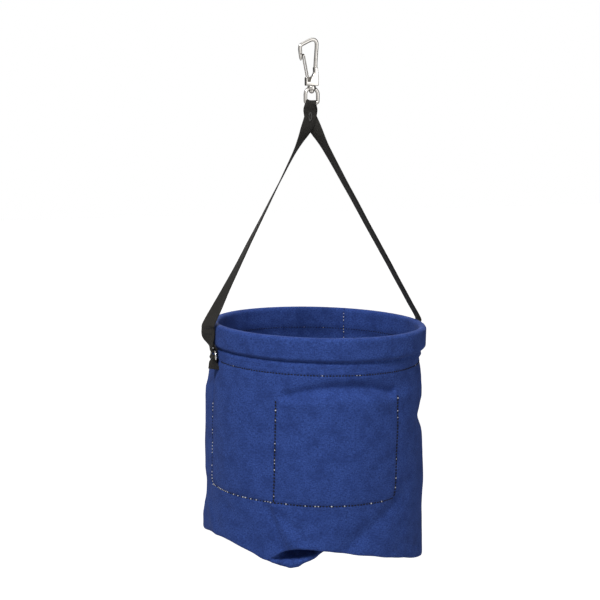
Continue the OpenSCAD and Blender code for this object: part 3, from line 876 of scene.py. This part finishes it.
def sew_bucket():
    hem = Sewing(11)
    gap = 5.0                       # degrees each tab covers
    for a0, a1 in ((-90 + gap, 90 - gap), (90 + gap, 270 - gap)):
        hem.run(round_run(a0, a1, HEM_ROW), 4.3, 3.6, width=1.8, height=1.1, knots=0.06)
        hem.run(round_run(a1, a0, HEM_ROW, inside=2 * CLOTH + 0.25), 4.3, 3.4, width=1.3, knots=0.12)
    hem.piece("hem_row_thread", "bucket", "hem_stitching", DARK_THREAD, PALE_THREAD)

    hoop = Sewing(12)
    hoop.run([slope_spot(180 - k, CUFF_H - 1.0) for k in range(361)], 4.3, 2.9, width=1.15, height=0.9,
             knots=0.05)
    hoop.piece("hoop_row_thread", "bucket", "hoop_stitching", DARK_THREAD, PALE_THREAD)

    rows = Sewing(13)
    left, middle, right = POCKET_ROWS
    rows.run(upright_run(left, POCKET_TOP + 22, POCKET_BOTTOM + 2), 4.6, 3.2, knots=0.7, width=1.7,
             height=1.0, knot=1.6)
    rows.run(upright_run(middle, POCKET_TOP + 1, POCKET_BOTTOM), 4.5, 4.3, knots=0.24, width=2.5,
             height=1.4, lean=0.34, knot=1.5)
    rows.run(upright_run(right, POCKET_TOP - 3, POCKET_BOTTOM - 2), 4.5, 4.3, knots=0.16, width=2.5,
             height=1.4, lean=-0.34, knot=1.5)
    rows.run(round_run(left, middle, POCKET_BOTTOM), 4.4, 3.3, width=1.9, height=1.0, knots=0.45, knot=1.5)
    rows.run(round_run(middle, right, POCKET_BOTTOM), 4.4, 3.9, width=2.1, height=1.1, knots=0.2, knot=1.7)
    rows.piece("pocket_row_thread", "bucket", "pocket_stitching", DARK_THREAD, PALE_THREAD)

    back = Sewing(14)
    back.run([slope_spot(SEAM_PLACE, 24 + k) for k in range(32)], 4.4, 2.8, knots=0.85, knot=1.2)
    back.run(upright_run(SEAM_PLACE, HEM_DEPTH + 2, edge_depth(SEAM_PLACE) - 18, inside=CLOTH + 1.9),
             4.4, 2.6, knots=0.9)
    back.run(cuff_run(SEAM_PLACE), 4.4, 2.8, knots=0.85, knot=1.2)
    back.piece("seam_row_thread", "bucket", "seam_stitching", DARK_THREAD, PALE_THREAD)

    foot = Sewing(15)
    foot.run(base_seam_row + base_seam_row[:1], 4.4, 3.2, knots=0.15)
    foot.piece("base_row_thread", "bucket", "base_stitching", DARK_THREAD, PALE_THREAD)


def cuff_run(angle):
    """Over the cuff's inner face and top, following the seam."""
    path = []
    a = math.radians(angle)
    out = Vector((math.sin(a), -math.cos(a), 0))
    for k in range(11):
        z = -23.5 + 18 * k / 10
        path.append((round_wall(HOOP_R - CUFF_HALF - 0.05, angle, z), -out))
    for k in range(1, 9):
        t = math.radians(180 - 75 * k / 8)
        path.append((round_wall(HOOP_R + (CUFF_HALF + 0.05) * math.cos(t), angle, -CUFF_HALF
                                + (CUFF_HALF + 0.05) * math.sin(t)),
                     (out * math.cos(t) + Vector((0, 0, 1)) * math.sin(t)).normalized()))
    return path


sew_bucket()


# ---------------------------------------------------------------- strap and tabs

def smooth_table(rows, steps):
    """A smooth path through rows of numbers, with `steps` between each two."""
    last = len(rows) - 1
    out = []
    for i in range(last):
        a, b, c, d = rows[max(i - 1, 0)], rows[i], rows[i + 1], rows[min(i + 2, last)]
        for k in range(steps):
            t = k / steps
            out.append(tuple(0.5 * (2 * q + (r - p) * t + (2 * p - 5 * q + 4 * r - s) * t * t
                                    + (3 * q - p - 3 * r + s) * t ** 3) for p, q, r, s in zip(a, b, c, d)))
    return out + [tuple(rows[last])]


# The eye's bar, the webbing's width as it goes over the bar, and its width inside a ring's bow
EYE_BAR_Z, EYE_BAR_D, EYE_ROOM, PINCH = -85.2, 4.4, 13.0, 9.0
NECK_Z, NECK_X, NECK_Y = -103.2, 2.2, 1.05    # where both legs are sewn together below the eye
LOOP_R = RING_WIRE / 2 + 1.5 + WEB_T / 2  # the strap's loop round a ring's bow, and its middle above the bar
LOOP_Z = math.sqrt(10.0 ** 2 - (PINCH / 2) ** 2) - 0.3 + RING_WIRE / 2 + 1.5
CUFF_R = WALL_R + 3.5                     # the cuff's outer face
LAYER = WEB_T + 0.3                       # from one layer of webbing to the next
LEFT_FLARE, RIGHT_FLARE = 1.0, 0.0        # how far each tab's sewn end turns towards the front
# Share of the way from the neck to the rim, turn of the webbing, width
LEFT_LEG = [(0.04, 12, 18.5), (0.1, 42, 19), (0.17, 60, 19), (0.3, 68, 19), (0.45, 75, 19),
            (0.6, 84, 19), (0.72, 92, 19), (0.83, 105, 19), (0.92, 122, 19)]
RIGHT_LEG = [(0.04, -30, 18.5), (0.1, -66, 19), (0.17, -78, 19), (0.3, -85, 19), (0.45, -87, 19),
             (0.6, -88, 19), (0.72, -89, 19), (0.83, -90, 19), (0.92, -90, 19)]
# Height over the ring's bar, distance outside the cuff, turn, width, layers of the sewn end beside it
LEFT_FOOT = [(48, 9.8, 138, 19, 0), (42, 10.6, 150, 19, 0), (34, 10.5, 152, 19, 1), (28, 9.3, 140, 17, 1),
             (22, 7.6, 118, 13.5, 1), (16.5, 6.2, 98, 10, 2)]
RIGHT_FOOT = [(48, 4.4, -90, 19, 0), (42, 4.9, -90, 19, 0), (34, 4.9, -90, 19, 1), (28, 4.8, -90, 17, 1),
              (22, 4.8, -90, 13, 1), (16.5, 5.2, -90, 10, 2)]


def foot(side, rows):
    """Stations of the strap's lower end in the bucket's own frame, down to the ring."""
    line = [(side * (CUFF_R + r[1]), 0.0, r[0] - RING_DROP, r[2], r[3]) for r in rows]
    return line + [(side * (RING_X + LOOP_R), 0.0, LOOP_Z - RING_DROP, -side * 90.0, PINCH)]


def beside(s, gap):
    """The same station a gap further out, for a second layer."""
    a = math.radians(s[3])
    return (s[0] + gap * math.sin(a), s[1] - gap * math.cos(a), s[2], s[3], s[4])


def hung(rows):
    return [(*hang(r[0], r[1], r[2]), r[3], r[4]) for r in rows]


def half_strap(side, legs, feet):
    """Stations from over the eye's bar, down one leg, round the ring and up the sewn end."""
    r = EYE_BAR_D / 2 + 0.3 + WEB_T / 2
    w = EYE_ROOM
    over = [(0.0, side * r * 0.5, EYE_BAR_Z + r * math.sin(math.radians(60)), 0.0, w),
            (side * 0.5 - 0.3, side * r * math.cos(math.radians(30)), EYE_BAR_Z + r * 0.5, 0.0, w + 0.6),
            (side * 1.6 - 0.8, side * (r + 0.35), EYE_BAR_Z, 0.0, w + 2.6),
            (side * NECK_X - 1.6, side * r, EYE_BAR_Z - 4.5, 0.0, w + 4.6),
            (side * NECK_X - 1.8, side * 2.0, NECK_Z + 9, 0.0, 18.4),
            (side * NECK_X * 0.4 - 1.8, side * NECK_Y, NECK_Z + 3, 0.0, 18.8),
            (side * NECK_X * 0.3 - 1.7, side * NECK_Y, NECK_Z - 2, 0.0, 18.8)]
    top = Vector((side * NECK_X * 0.4 - 1.5, side * NECK_Y, NECK_Z - 6))
    low = hang(side * (CUFF_R + feet[0][1]), 0, feet[0][0] - RING_DROP)
    legs_at = [(*top.lerp(low, s), turn, width) for s, turn, width in legs]
    line = foot(side, feet)
    down = smooth_table(over + legs_at + hung(line), 7)
    turn = [(side * (RING_X + LOOP_R * math.cos(math.radians(a))), 0.0,
             LOOP_Z - RING_DROP - LOOP_R * math.sin(math.radians(a)), -side * 90.0, PINCH)
            for a in (15, 30, 45, 60, 75, 90, 105, 120, 135, 150, 165)]
    tail = [beside(line[i], LAYER * (1 if feet[i][4] == 1 else 1.9)) for i in range(len(feet)) if feet[i][4]]
    tail.append(beside(line[-1], 2 * LOOP_R))
    return down + hung(turn) + smooth_table(hung(list(reversed(tail))), 7)


# Half of the webbing's section: share of its half width, share of its half thickness
WEB_SECTION = [(-1, 0), (-0.985, 0.62), (-0.93, 1), (-0.5, 1.02), (0, 1.03), (0.5, 1.02), (0.93, 1),
               (0.985, 0.62)]
OTHER_FACE = 25                           # the second face's place beside the first on the cloth's map


def webbing_mesh(name, stations, thickness):
    """A flat woven strip swept along stations of (x, y, z, turn of its width, width)."""
    section = WEB_SECTION + [(-c, -d) for c, d in WEB_SECTION]
    n = len(section)
    verts, uvs, reach = [], [], 0.0
    pts = [Vector(s[:3]) for s in stations]
    for i, s in enumerate(stations):
        tangent = (pts[min(i + 1, len(pts) - 1)] - pts[max(i - 1, 0)]).normalized()
        a = math.radians(s[3])
        flat = Vector((math.cos(a), math.sin(a), 0))
        wide = (flat - tangent * flat.dot(tangent)).normalized()
        out = tangent.cross(wide)
        if i:
            reach += (pts[i] - pts[i - 1]).length
        cup = 0.10 * (WEB_W - s[4]) if s[4] < WEB_W - 1 else 0.0
        waver = 0.35 * ripple(reach, 3, 7, 38) if s[4] > WEB_W - 2 else 0.0
        for c, d in section:
            off = d * thickness / 2 + waver - cup * (c * c - 0.4) * 0.35
            verts.append(pts[i] + wide * (c * s[4] / 2) + out * off)
            uvs.append((c * WEB_W / 2 + (0 if d >= 0 else OTHER_FACE), reach))
    faces = [(i * n + k, (i + 1) * n + k, (i + 1) * n + (k + 1) % n, i * n + (k + 1) % n)
             for i in range(len(pts) - 1) for k in range(n)]
    faces.append(tuple(range(n)))
    faces.append(tuple((len(pts) - 1) * n + k for k in range(n - 1, -1, -1)))
    obj = place(name, verts, faces)
    uv = obj.data.uv_layers.new(name="cloth")
    for loop in obj.data.loops:
        u, v = uvs[loop.vertex_index]
        uv.data[loop.index].uv = (u * MM, v * MM)
    return obj


def recalculate(obj):
    """Turns all faces outwards."""
    select_only(obj)
    bpy.ops.object.mode_set(mode="EDIT")
    bpy.ops.mesh.select_all(action="SELECT")
    bpy.ops.mesh.normals_make_consistent(inside=False)
    bpy.ops.object.mode_set(mode="OBJECT")
    obj.select_set(False)


def strap():
    """One length of webbing: from one sewn end up through the swivel's eye and down to the other."""
    left, right = half_strap(-1, LEFT_LEG, LEFT_FOOT), half_strap(1, RIGHT_LEG, RIGHT_FOOT)
    top = [(0, 0, EYE_BAR_Z + EYE_BAR_D / 2 + 0.3 + WEB_T / 2, 0.0, EYE_ROOM)]
    web = webbing_mesh("strap_webbing", list(reversed(left)) + top + right, WEB_T)
    recalculate(web)
    finish_with(web, WEBBING)
    return belongs(web, "strap", "webbing", "handle_strap")


strap()


def tab_loop(name, node, side, flare):
    """Webbing folded round the ring's bar; `flare` turns its sewn end towards the front."""
    r = RING_WIRE / 2 + 0.35 + WEB_T / 2
    turn = 90.0 * (1 if side < 0 else -1)
    wide = 15.0 + 3.6 * flare
    back, front = WALL_R + 0.25 + WEB_T / 2, WALL_R + 0.45 + 1.5 * WEB_T
    low = -RING_DROP - 17.0 + 3.5 * flare
    rows = []
    for z in (low, low + 4, low + 8, low + 12):
        t = ease(low + 14, low, z) * flare
        rows.append((back + 4.0 * t, -11.0 * t, z, 84 * t, wide))
    for a in range(235, -56, -20):
        t = math.radians(a)
        rows.append((RING_X + r * math.cos(t), 0.0, -RING_DROP + r * math.sin(t), 0.0, 15.0 + 1.5 * flare))
    for z in (low + 11, low + 7.5, low + 4, low - 0.6):
        t = ease(low + 14, low, z) * flare
        rows.append((front + 4.4 * t, -12.6 * t, z, 88 * t, wide))
    stations = hung([(side * x, y, z, turn + side * w, width) for x, y, z, w, width in rows])
    tab = webbing_mesh(name, smooth_table(stations, 4), WEB_T)
    recalculate(tab)
    finish_with(tab, WEBBING)
    return belongs(tab, "bucket", "webbing", node)


tab_loop("tab_left_webbing", "tab_left", -1, LEFT_FLARE)
tab_loop("tab_right_webbing", "tab_right", 1, RIGHT_FLARE)


def sew_straps():
    tack = Sewing(21)
    for side in (-1, 1):
        out = Vector((0, side, 0))
        at = Vector((-2.9, side * (NECK_Y + WEB_T / 2 + 0.1), NECK_Z - 0.6))
        for k in range(40):                                     # dense zigzag round an oval
            t = 2 * math.pi * k / 40
            spot = Vector((1.9 * math.cos(t), 0, 5.6 * math.sin(t)))
            tack.lobe(at + spot, Vector((math.cos(t) * 1.6, 0, math.sin(t) + 0.25 * (-1) ** k)), out,
                      1.7, 0.75, 0.7, 0)
    # The bartack's grey is a painted sheen on black thread
    tack.piece("neck_bartack_thread", "strap", "strap_bartack", SHEEN_GREY_THREAD, SHEEN_GREY_THREAD)

    ends = Sewing(22)
    for side, rows in ((-1, LEFT_FOOT), (1, RIGHT_FOOT)):
        line = hung(foot(side, rows))
        for i in (1, 2):
            s = line[i]
            a = math.radians(s[3])
            flat, out = Vector((math.cos(a), math.sin(a), 0)), Vector((-math.sin(a), math.cos(a), 0))
            for face, far in ((1, WEB_T / 2 + 0.1), (-1, WEB_T / 2 + (LAYER if rows[i][4] else 0) + 0.1)):
                count = int(s[4] * 0.72 / 3.0)
                for k in range(count):
                    at = Vector(s[:3]) + flat * (3.0 * (k - (count - 1) / 2)) + out * face * far
                    ends.lobe(at, flat, out * face, 2.4, 0.8, 0.6, 0)
    ends.piece("strap_end_thread", "strap", "strap_end_stitches", DARK_THREAD, PALE_THREAD)

    tabs = Sewing(23)
    for side, flare in ((-1, LEFT_FLARE), (1, RIGHT_FLARE)):
        for z in (-52.5, -55.0, -58.5):
            t = ease(-50, -60.5, z) * flare
            a = math.radians((90 if side < 0 else -90) + side * 88 * t)
            flat, out = Vector((math.cos(a), math.sin(a), 0)), Vector((-math.sin(a), math.cos(a), 0))
            if out.x * side < 0:
                out = -out
            middle = hang(side * (WALL_R + 0.6 + 2 * WEB_T + 4.4 * t), -12.6 * t, z)
            for k in range(4):
                tabs.lobe(middle + flat * (2.9 * (k - 1.5)), flat, out, 2.3, 0.8, 0.6, 0)
    tabs.piece("tab_row_thread", "bucket", "tab_stitching", DARK_THREAD, PALE_THREAD)


sew_straps()


# ---------------------------------------------------------------- hook, swivel and rings

def wire(name, points, radii, closed=False, sides=5):
    """Round wire along points, drawn as a curve and made a mesh."""
    bpy.ops.object.select_all(action="DESELECT")
    bpy.ops.curve.primitive_nurbs_path_add(location=(0, 0, 0))
    obj = bpy.context.object
    obj.name = name
    curve = obj.data
    curve.splines.clear()
    line = curve.splines.new("POLY")
    line.points.add(len(points) - 1)
    for spot, p, r in zip(line.points, points, radii):
        spot.co = (*(Vector(p) * MM), 1.0)
        spot.radius = r
    line.use_cyclic_u = closed
    curve.dimensions = "3D"
    curve.twist_mode = "MINIMUM"
    curve.bevel_depth = MM
    curve.bevel_resolution = sides
    curve.use_fill_caps = not closed
    bpy.ops.object.convert(target="MESH")
    obj = bpy.context.object
    obj.name = name
    recalculate(obj)
    obj.data.polygons.foreach_set("use_smooth", [True] * len(obj.data.polygons))
    return obj


def combine(obj, other, operation):
    m = obj.modifiers.new("solid", "BOOLEAN")
    m.operation = operation
    m.solver = "EXACT"
    m.object = other
    apply_all(obj)
    bpy.data.objects.remove(other, do_unlink=True)


def join(obj, *others):
    """Fuses the other solids into obj."""
    for other in others:
        combine(obj, other, "UNION")


def cut(obj, other):
    combine(obj, other, "DIFFERENCE")


def round_edges(obj, width, sharpest=30):
    """Rounds the edges that turn by more than the given angle."""
    m = obj.modifiers.new("softened edges", "BEVEL")
    m.width = width * MM
    m.segments = 3
    m.limit_method = "ANGLE"
    m.angle_limit = math.radians(sharpest)
    apply_all(obj)


def rod(name, start, end, radius, sides=32, soften=0.0):
    """A round bar between two points, its ends softened."""
    a, b = Vector(start) * MM, Vector(end) * MM
    bpy.ops.object.select_all(action="DESELECT")
    bpy.ops.mesh.primitive_cylinder_add(vertices=sides, radius=radius * MM, depth=(b - a).length,
                                        location=(a + b) / 2,
                                        rotation=(b - a).to_track_quat("Z", "Y").to_euler())
    obj = bpy.context.object
    obj.name = name
    bpy.ops.object.transform_apply(location=True, rotation=True, scale=True)
    if soften:
        round_edges(obj, soften)
    return obj


def ball(name, centre, radius, squash=1.0):
    bpy.ops.object.select_all(action="DESELECT")
    bpy.ops.mesh.primitive_uv_sphere_add(segments=28, ring_count=16, radius=radius * MM,
                                         location=Vector(centre) * MM)
    obj = bpy.context.object
    obj.name = name
    obj.scale = (1, 1, squash)
    bpy.ops.object.transform_apply(location=True, rotation=True, scale=True)
    return obj


def plate(name, outline, thickness, soften=0.0):
    """A flat plate from its outline in the XZ plane, standing across Y, with its edges softened."""
    verts = [(x, -thickness / 2, z) for x, z in outline]
    obj = place(name, verts, [tuple(range(len(verts)))], smooth=False)
    select_only(obj)
    bpy.ops.object.mode_set(mode="EDIT")
    bpy.ops.mesh.select_all(action="SELECT")
    bpy.ops.mesh.extrude_region_move(TRANSFORM_OT_translate={"value": (0, thickness * MM, 0)})
    bpy.ops.mesh.select_all(action="SELECT")
    bpy.ops.mesh.normals_make_consistent(inside=False)
    bpy.ops.object.mode_set(mode="OBJECT")
    if soften:
        round_edges(obj, soften, 25)
    return obj


def metal_piece(obj, body, node):
    select_only(obj)
    bpy.ops.object.shade_smooth_by_angle(angle=math.radians(32))
    obj.select_set(False)
    finish_with(obj, NICKEL)
    return belongs(obj, body, "nickel", node)


# The hook's flat base: its lower end, width, thickness and height, and the bow's radius
HOOK_FOOT, BASE_W, BASE_T, BASE_H, BOW_R = -61.0, 19.0, 8.0, 12.0, 2.7
BASE_TOP = HOOK_FOOT + BASE_H
PIVOT = (-5.5, HOOK_FOOT + BASE_H * 0.6)  # x and z of the hole that the gate turns in
GATE_TOP = (-12.9, -17.5)                 # x and z where the closed gate meets the nose
GATE_R, GATE_OFF = 0.9, 3.6               # the gate's wire, and each leg's distance from the middle plane
RECESS_Y = GATE_OFF - GATE_R - 0.3        # floor of the recess that a leg lies in
# Bow of the hook from the tip of its nose, over the top and down to its base: x, z, radius
BOW = [(-16.4, -25, 1.3), (-16.6, -22, 2.1), (-17.2, -14, 2.7), (-17.6, -9.5, 2.7), (-16.3, -5.2, 2.7),
       (-11, -2.2, 2.7), (-5, 0.8, 2.7), (0, 2.7, 2.7), (4.2, 2.4, 2.7), (7, -0.6, 2.7), (7.4, -6, 2.7),
       (6.8, -15, 2.7), (6, -26, 2.7), (5.6, -36, 2.84), (5.4, BASE_TOP - 2, 2.97)]


def hook():
    line = smooth_table(BOW, 6)
    bow = wire("hook_bow", [(x, 0, z) for x, z, r in line], [r for x, z, r in line], sides=6)
    tip = ball("hook_nose_tip", (BOW[0][0], 0, BOW[0][1]), 1.3)
    outline = [(BASE_W / 2, HOOK_FOOT), (BASE_W / 2, BASE_TOP), (BOW_R + 5.4, BASE_TOP + 14),
               (5.4 - BOW_R, BASE_TOP + 14), (3.2, BASE_TOP + 7), (0.4, BASE_TOP + 2), (-3, BASE_TOP),
               (-BASE_W / 2, BASE_TOP), (-BASE_W / 2, HOOK_FOOT)]
    base = plate("hook_base", outline, BASE_T, soften=1.1)
    for side in (-1, 1):
        recess = plate("gate_recess", [(-BASE_W / 2 + 1.6, BASE_TOP + 1), (PIVOT[0] + 6.2, BASE_TOP + 5),
                                       (PIVOT[0] + 2.2, PIVOT[1] - 2), (PIVOT[0] - 2, PIVOT[1] - 2)], BASE_T)
        recess.data.transform(Matrix.Translation((0, side * (RECESS_Y + BASE_T / 2) * MM, 0)))
        cut(base, recess)
    cut(base, rod("pivot_hole", (PIVOT[0], -BASE_T, PIVOT[1]), (PIVOT[0], BASE_T, PIVOT[1]), GATE_R + 0.08))
    join(base, bow, tip)
    base.name = "snap_hook"
    metal_piece(base, "hook", "hook_body")
    finish_with(base, NICKEL, RECESS_SHADE_STEEL)
    for face in base.data.polygons:                             # the floors of the recesses, painted near-black as the shade in them
        if abs(abs(face.center.y) / MM - RECESS_Y) < 0.05 and abs(face.normal.y) > 0.9:
            face.material_index = 1
    return base


def gate():
    """Sprung wire gate: two legs joined at the top with their ends turned into the base."""
    across, up = GATE_TOP[0] - PIVOT[0], GATE_TOP[1] - PIVOT[1]
    lean, leg = math.atan2(across, up), math.hypot(across, up) - GATE_OFF
    flat = [(-(RECESS_Y - 1.6), 0.0), (-(GATE_OFF - 0.9), 0.0), (-(GATE_OFF - 0.25), 0.25), (-GATE_OFF, 0.9)]
    flat += [(-GATE_OFF, leg * k / 8) for k in range(1, 9)]
    flat += [(-GATE_OFF * math.cos(math.pi * k / 14), leg + GATE_OFF * math.sin(math.pi * k / 14))
             for k in range(1, 8)]
    flat += [(-y, z) for y, z in reversed(flat[:-1])]
    points = [(PIVOT[0] + z * math.sin(lean), y, PIVOT[1] + z * math.cos(lean)) for y, z in flat]
    legs = metal_piece(wire("wire_gate", points, [GATE_R] * len(points), sides=5), "gate", "gate")
    return finish_with(legs, GATE_STEEL)


EYE_TOP = HOOK_FOOT - 0.2
EYE_W, EYE_R = 24.0, 2.6
ARCH_Z = EYE_TOP - EYE_W / 2


def swivel():
    post = rod("swivel_shank", (0, 0, EYE_TOP - 5.4), (0, 0, HOOK_FOOT + 5), 2.45, soften=0.3)
    head = ball("swivel_head", (0, 0, EYE_TOP - 5.4 - 1.6), 3.85, squash=0.92)
    join(post, head)
    post.name = "swivel_rivet"
    metal_piece(post, "hook", "swivel_post")

    side_x = EYE_W / 2 - EYE_R
    bar_r = EYE_BAR_D / 2
    loop = [(side_x * math.cos(math.pi * k / 28), 0, ARCH_Z + side_x * math.sin(math.pi * k / 28), EYE_R)
            for k in range(29)]
    turn_r = 3                                                  # of the corners beside the bar
    leg_end = EYE_BAR_Z + turn_r
    loop += [(-side_x, 0, ARCH_Z + (leg_end - ARCH_Z) * k / 4, EYE_R - 0.1 * k / 4) for k in range(1, 5)]
    loop += [(-side_x + turn_r * (1 - math.cos(t)), 0, leg_end - turn_r * math.sin(t),
              EYE_R - 0.1 - 0.3 * t / 1.571) for t in (0.39, 0.785, 1.18, 1.571)]
    loop += [(-side_x + turn_r + (2 * side_x - 2 * turn_r) * k / 5, 0, EYE_BAR_Z, bar_r) for k in range(1, 5)]
    loop += [(-x, y, z, r) for x, y, z, r in reversed(loop[29:37])]
    eye = wire("swivel_eye_loop", [p[:3] for p in loop], [p[3] for p in loop], closed=True, sides=6)
    collar = rod("collar", (0, 0, EYE_TOP - 5.4), (0, 0, EYE_TOP), 6.0, sides=40, soften=0.9)
    join(eye, collar)
    cut(eye, rod("bore", (0, 0, EYE_TOP - 12), (0, 0, EYE_TOP + 1), 2.6))
    cut(eye, rod("counterbore", (0, 0, EYE_TOP - 10.6), (0, 0, EYE_TOP - 5.3), 4.25, sides=40))
    return metal_piece(eye, "eye", "swivel_eye")


def d_ring(side):
    """A D-ring with its bar level, through the tab, and its bow up through the strap's end."""
    name = "left" if side < 0 else "right"
    r = 1.6
    path = [(RING_MID, 0.6)]
    for k in range(1, 30):
        t = math.pi * k / 30
        path.append((RING_MID * math.cos(t), RING_MID * math.sin(t)))
    path.append((-RING_MID, 0.6))
    path += [(-RING_MID + r * (1 - math.cos(t)) * 0.6, 0.0) for t in (0.5, 1.0)]
    path += [(-RING_MID + r + (2 * RING_MID - 2 * r) * k / 6, 0.0) for k in range(7)]
    path += [(RING_MID - r * (1 - math.cos(t)) * 0.6, 0.0) for t in (1.0, 0.5)]
    points = [hang(side * RING_X, y, z - RING_DROP) for y, z in path]
    ring = wire(f"d_ring_{name}", points, [RING_WIRE / 2] * len(points), closed=True, sides=6)
    return metal_piece(ring, f"ring_{name}", f"ring_{name}")


hook()
gate()
swivel()
d_ring(-1)
d_ring(1)
finish_with(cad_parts["rim_hoop"], HOOP)



# ---------------------------------------------------------------- studio

def light_node(tree, kind, strength):
    n = tree.nodes.new(kind)
    n.inputs["Strength"].default_value = strength
    return n


def for_seeing_rays(tree, others, seen):
    """One shader for rays from the camera, a mirror or a clear solid, and another for all others."""
    rays = tree.nodes.new("ShaderNodeLightPath")
    choice = math_node(tree, "MAXIMUM", rays.outputs["Is Camera Ray"],
                       math_node(tree, "MAXIMUM", rays.outputs["Is Glossy Ray"],
                                 rays.outputs["Is Transmission Ray"]))
    n = tree.nodes.new("ShaderNodeMixShader")
    for k, socket in enumerate((choice, others.outputs[0], seen.outputs[0])):
        tree.links.new(socket, n.inputs[k])
    return n.outputs[0]


def backdrop():
    """White where it is seen, and a dim even light on everything."""
    world = bpy.data.worlds.new("studio")
    bpy.context.scene.world = world
    world.use_nodes = True
    tree = world.node_tree
    tree.nodes.clear()
    soft = light_node(tree, "ShaderNodeBackground", 0.2)
    white = light_node(tree, "ShaderNodeBackground", 1.0)
    white.inputs["Color"].default_value = (1, 1, 1, 1)
    out = tree.nodes.new("ShaderNodeOutputWorld")
    tree.links.new(for_seeing_rays(tree, soft, white), out.inputs["Surface"])


def floor():
    """A pale floor far below, as white as the backdrop where it is seen."""
    bpy.ops.mesh.primitive_plane_add(size=60, location=(0, 0, -2.6))
    plane = bpy.context.object
    plane.name = "studio_floor"
    m, tree, bsdf = start_material("pale floor")
    bsdf.inputs["Base Color"].default_value = (0.7, 0.7, 0.7, 1)
    bsdf.inputs["Roughness"].default_value = 0.8
    black, glow = light_node(tree, "ShaderNodeEmission", 0.0), light_node(tree, "ShaderNodeEmission", 0.9)
    add = tree.nodes.new("ShaderNodeAddShader")
    tree.links.new(for_seeing_rays(tree, black, glow), add.inputs[0])
    tree.links.new(bsdf.outputs[0], add.inputs[1])
    tree.links.new(add.outputs[0], tree.nodes["Material Output"].inputs["Surface"])
    plane.data.materials.append(m)


def lamp(name, place_at, size, power, aim=(0, 0, -0.5)):
    bpy.ops.object.light_add(type="AREA", location=place_at)
    light = bpy.context.object
    light.name = name
    light.data.shape = "DISK"
    light.data.size = size
    light.data.energy = power
    light.rotation_euler = (Vector(aim) - Vector(place_at)).to_track_quat("-Z", "Y").to_euler()


def card(name, heading, far, width, glow):
    """A dim card that only the polished metal mirrors."""
    a = math.radians(heading)
    bpy.ops.mesh.primitive_plane_add(size=1, location=(far * math.sin(a), -far * math.cos(a), -0.1),
                                     rotation=(math.pi / 2, 0, a))
    piece = bpy.context.object
    piece.name = name
    piece.scale = (width, 1.6, 1)
    m, tree, _ = start_material(name)
    light = light_node(tree, "ShaderNodeEmission", glow)
    tree.links.new(light.outputs[0], tree.nodes["Material Output"].inputs["Surface"])
    piece.data.materials.append(m)
    piece.visible_camera = piece.visible_diffuse = False
    piece.visible_shadow = piece.visible_transmission = False


def studio():
    bpy.context.scene.view_settings.view_transform = "Standard"
    backdrop()
    floor()
    lamp("key light", (-1.6, -1.7, 1.9), 0.8, 96)
    lamp("fill light", (1.2, -2.3, 0.1), 1.8, 14)
    lamp("top light", (0.1, 0.3, 2.0), 1.2, 6, aim=(0, 0, -0.4))
    lamp("back light", (0.9, 2.3, 0.9), 1.4, 34)
    card("back card", 158, 0.5, 0.6, 0.55)
    card("left back card", -149, 0.5, 0.5, 0.12)
    card("right back card", 105, 0.5, 0.5, 0.02)
    card("left card", -104, 0.62, 0.25, 0.02)
    card("right card", 60, 0.62, 0.25, 0.02)


def camera():
    """Slightly above the bucket and to its left, about 1.8 m away."""
    data = bpy.data.cameras.new("camera")
    data.sensor_width = 36
    data.lens = 74.48
    cam = bpy.data.objects.new("camera", data)
    bpy.context.collection.objects.link(cam)
    cam.location = (-0.6547, -1.6476, -0.1105)
    heading, pitch = math.radians(-21.142), math.radians(-8.19)
    cam.rotation_euler = (math.pi / 2 + pitch, 0, heading)
    bpy.context.scene.camera = cam


studio()
camera()
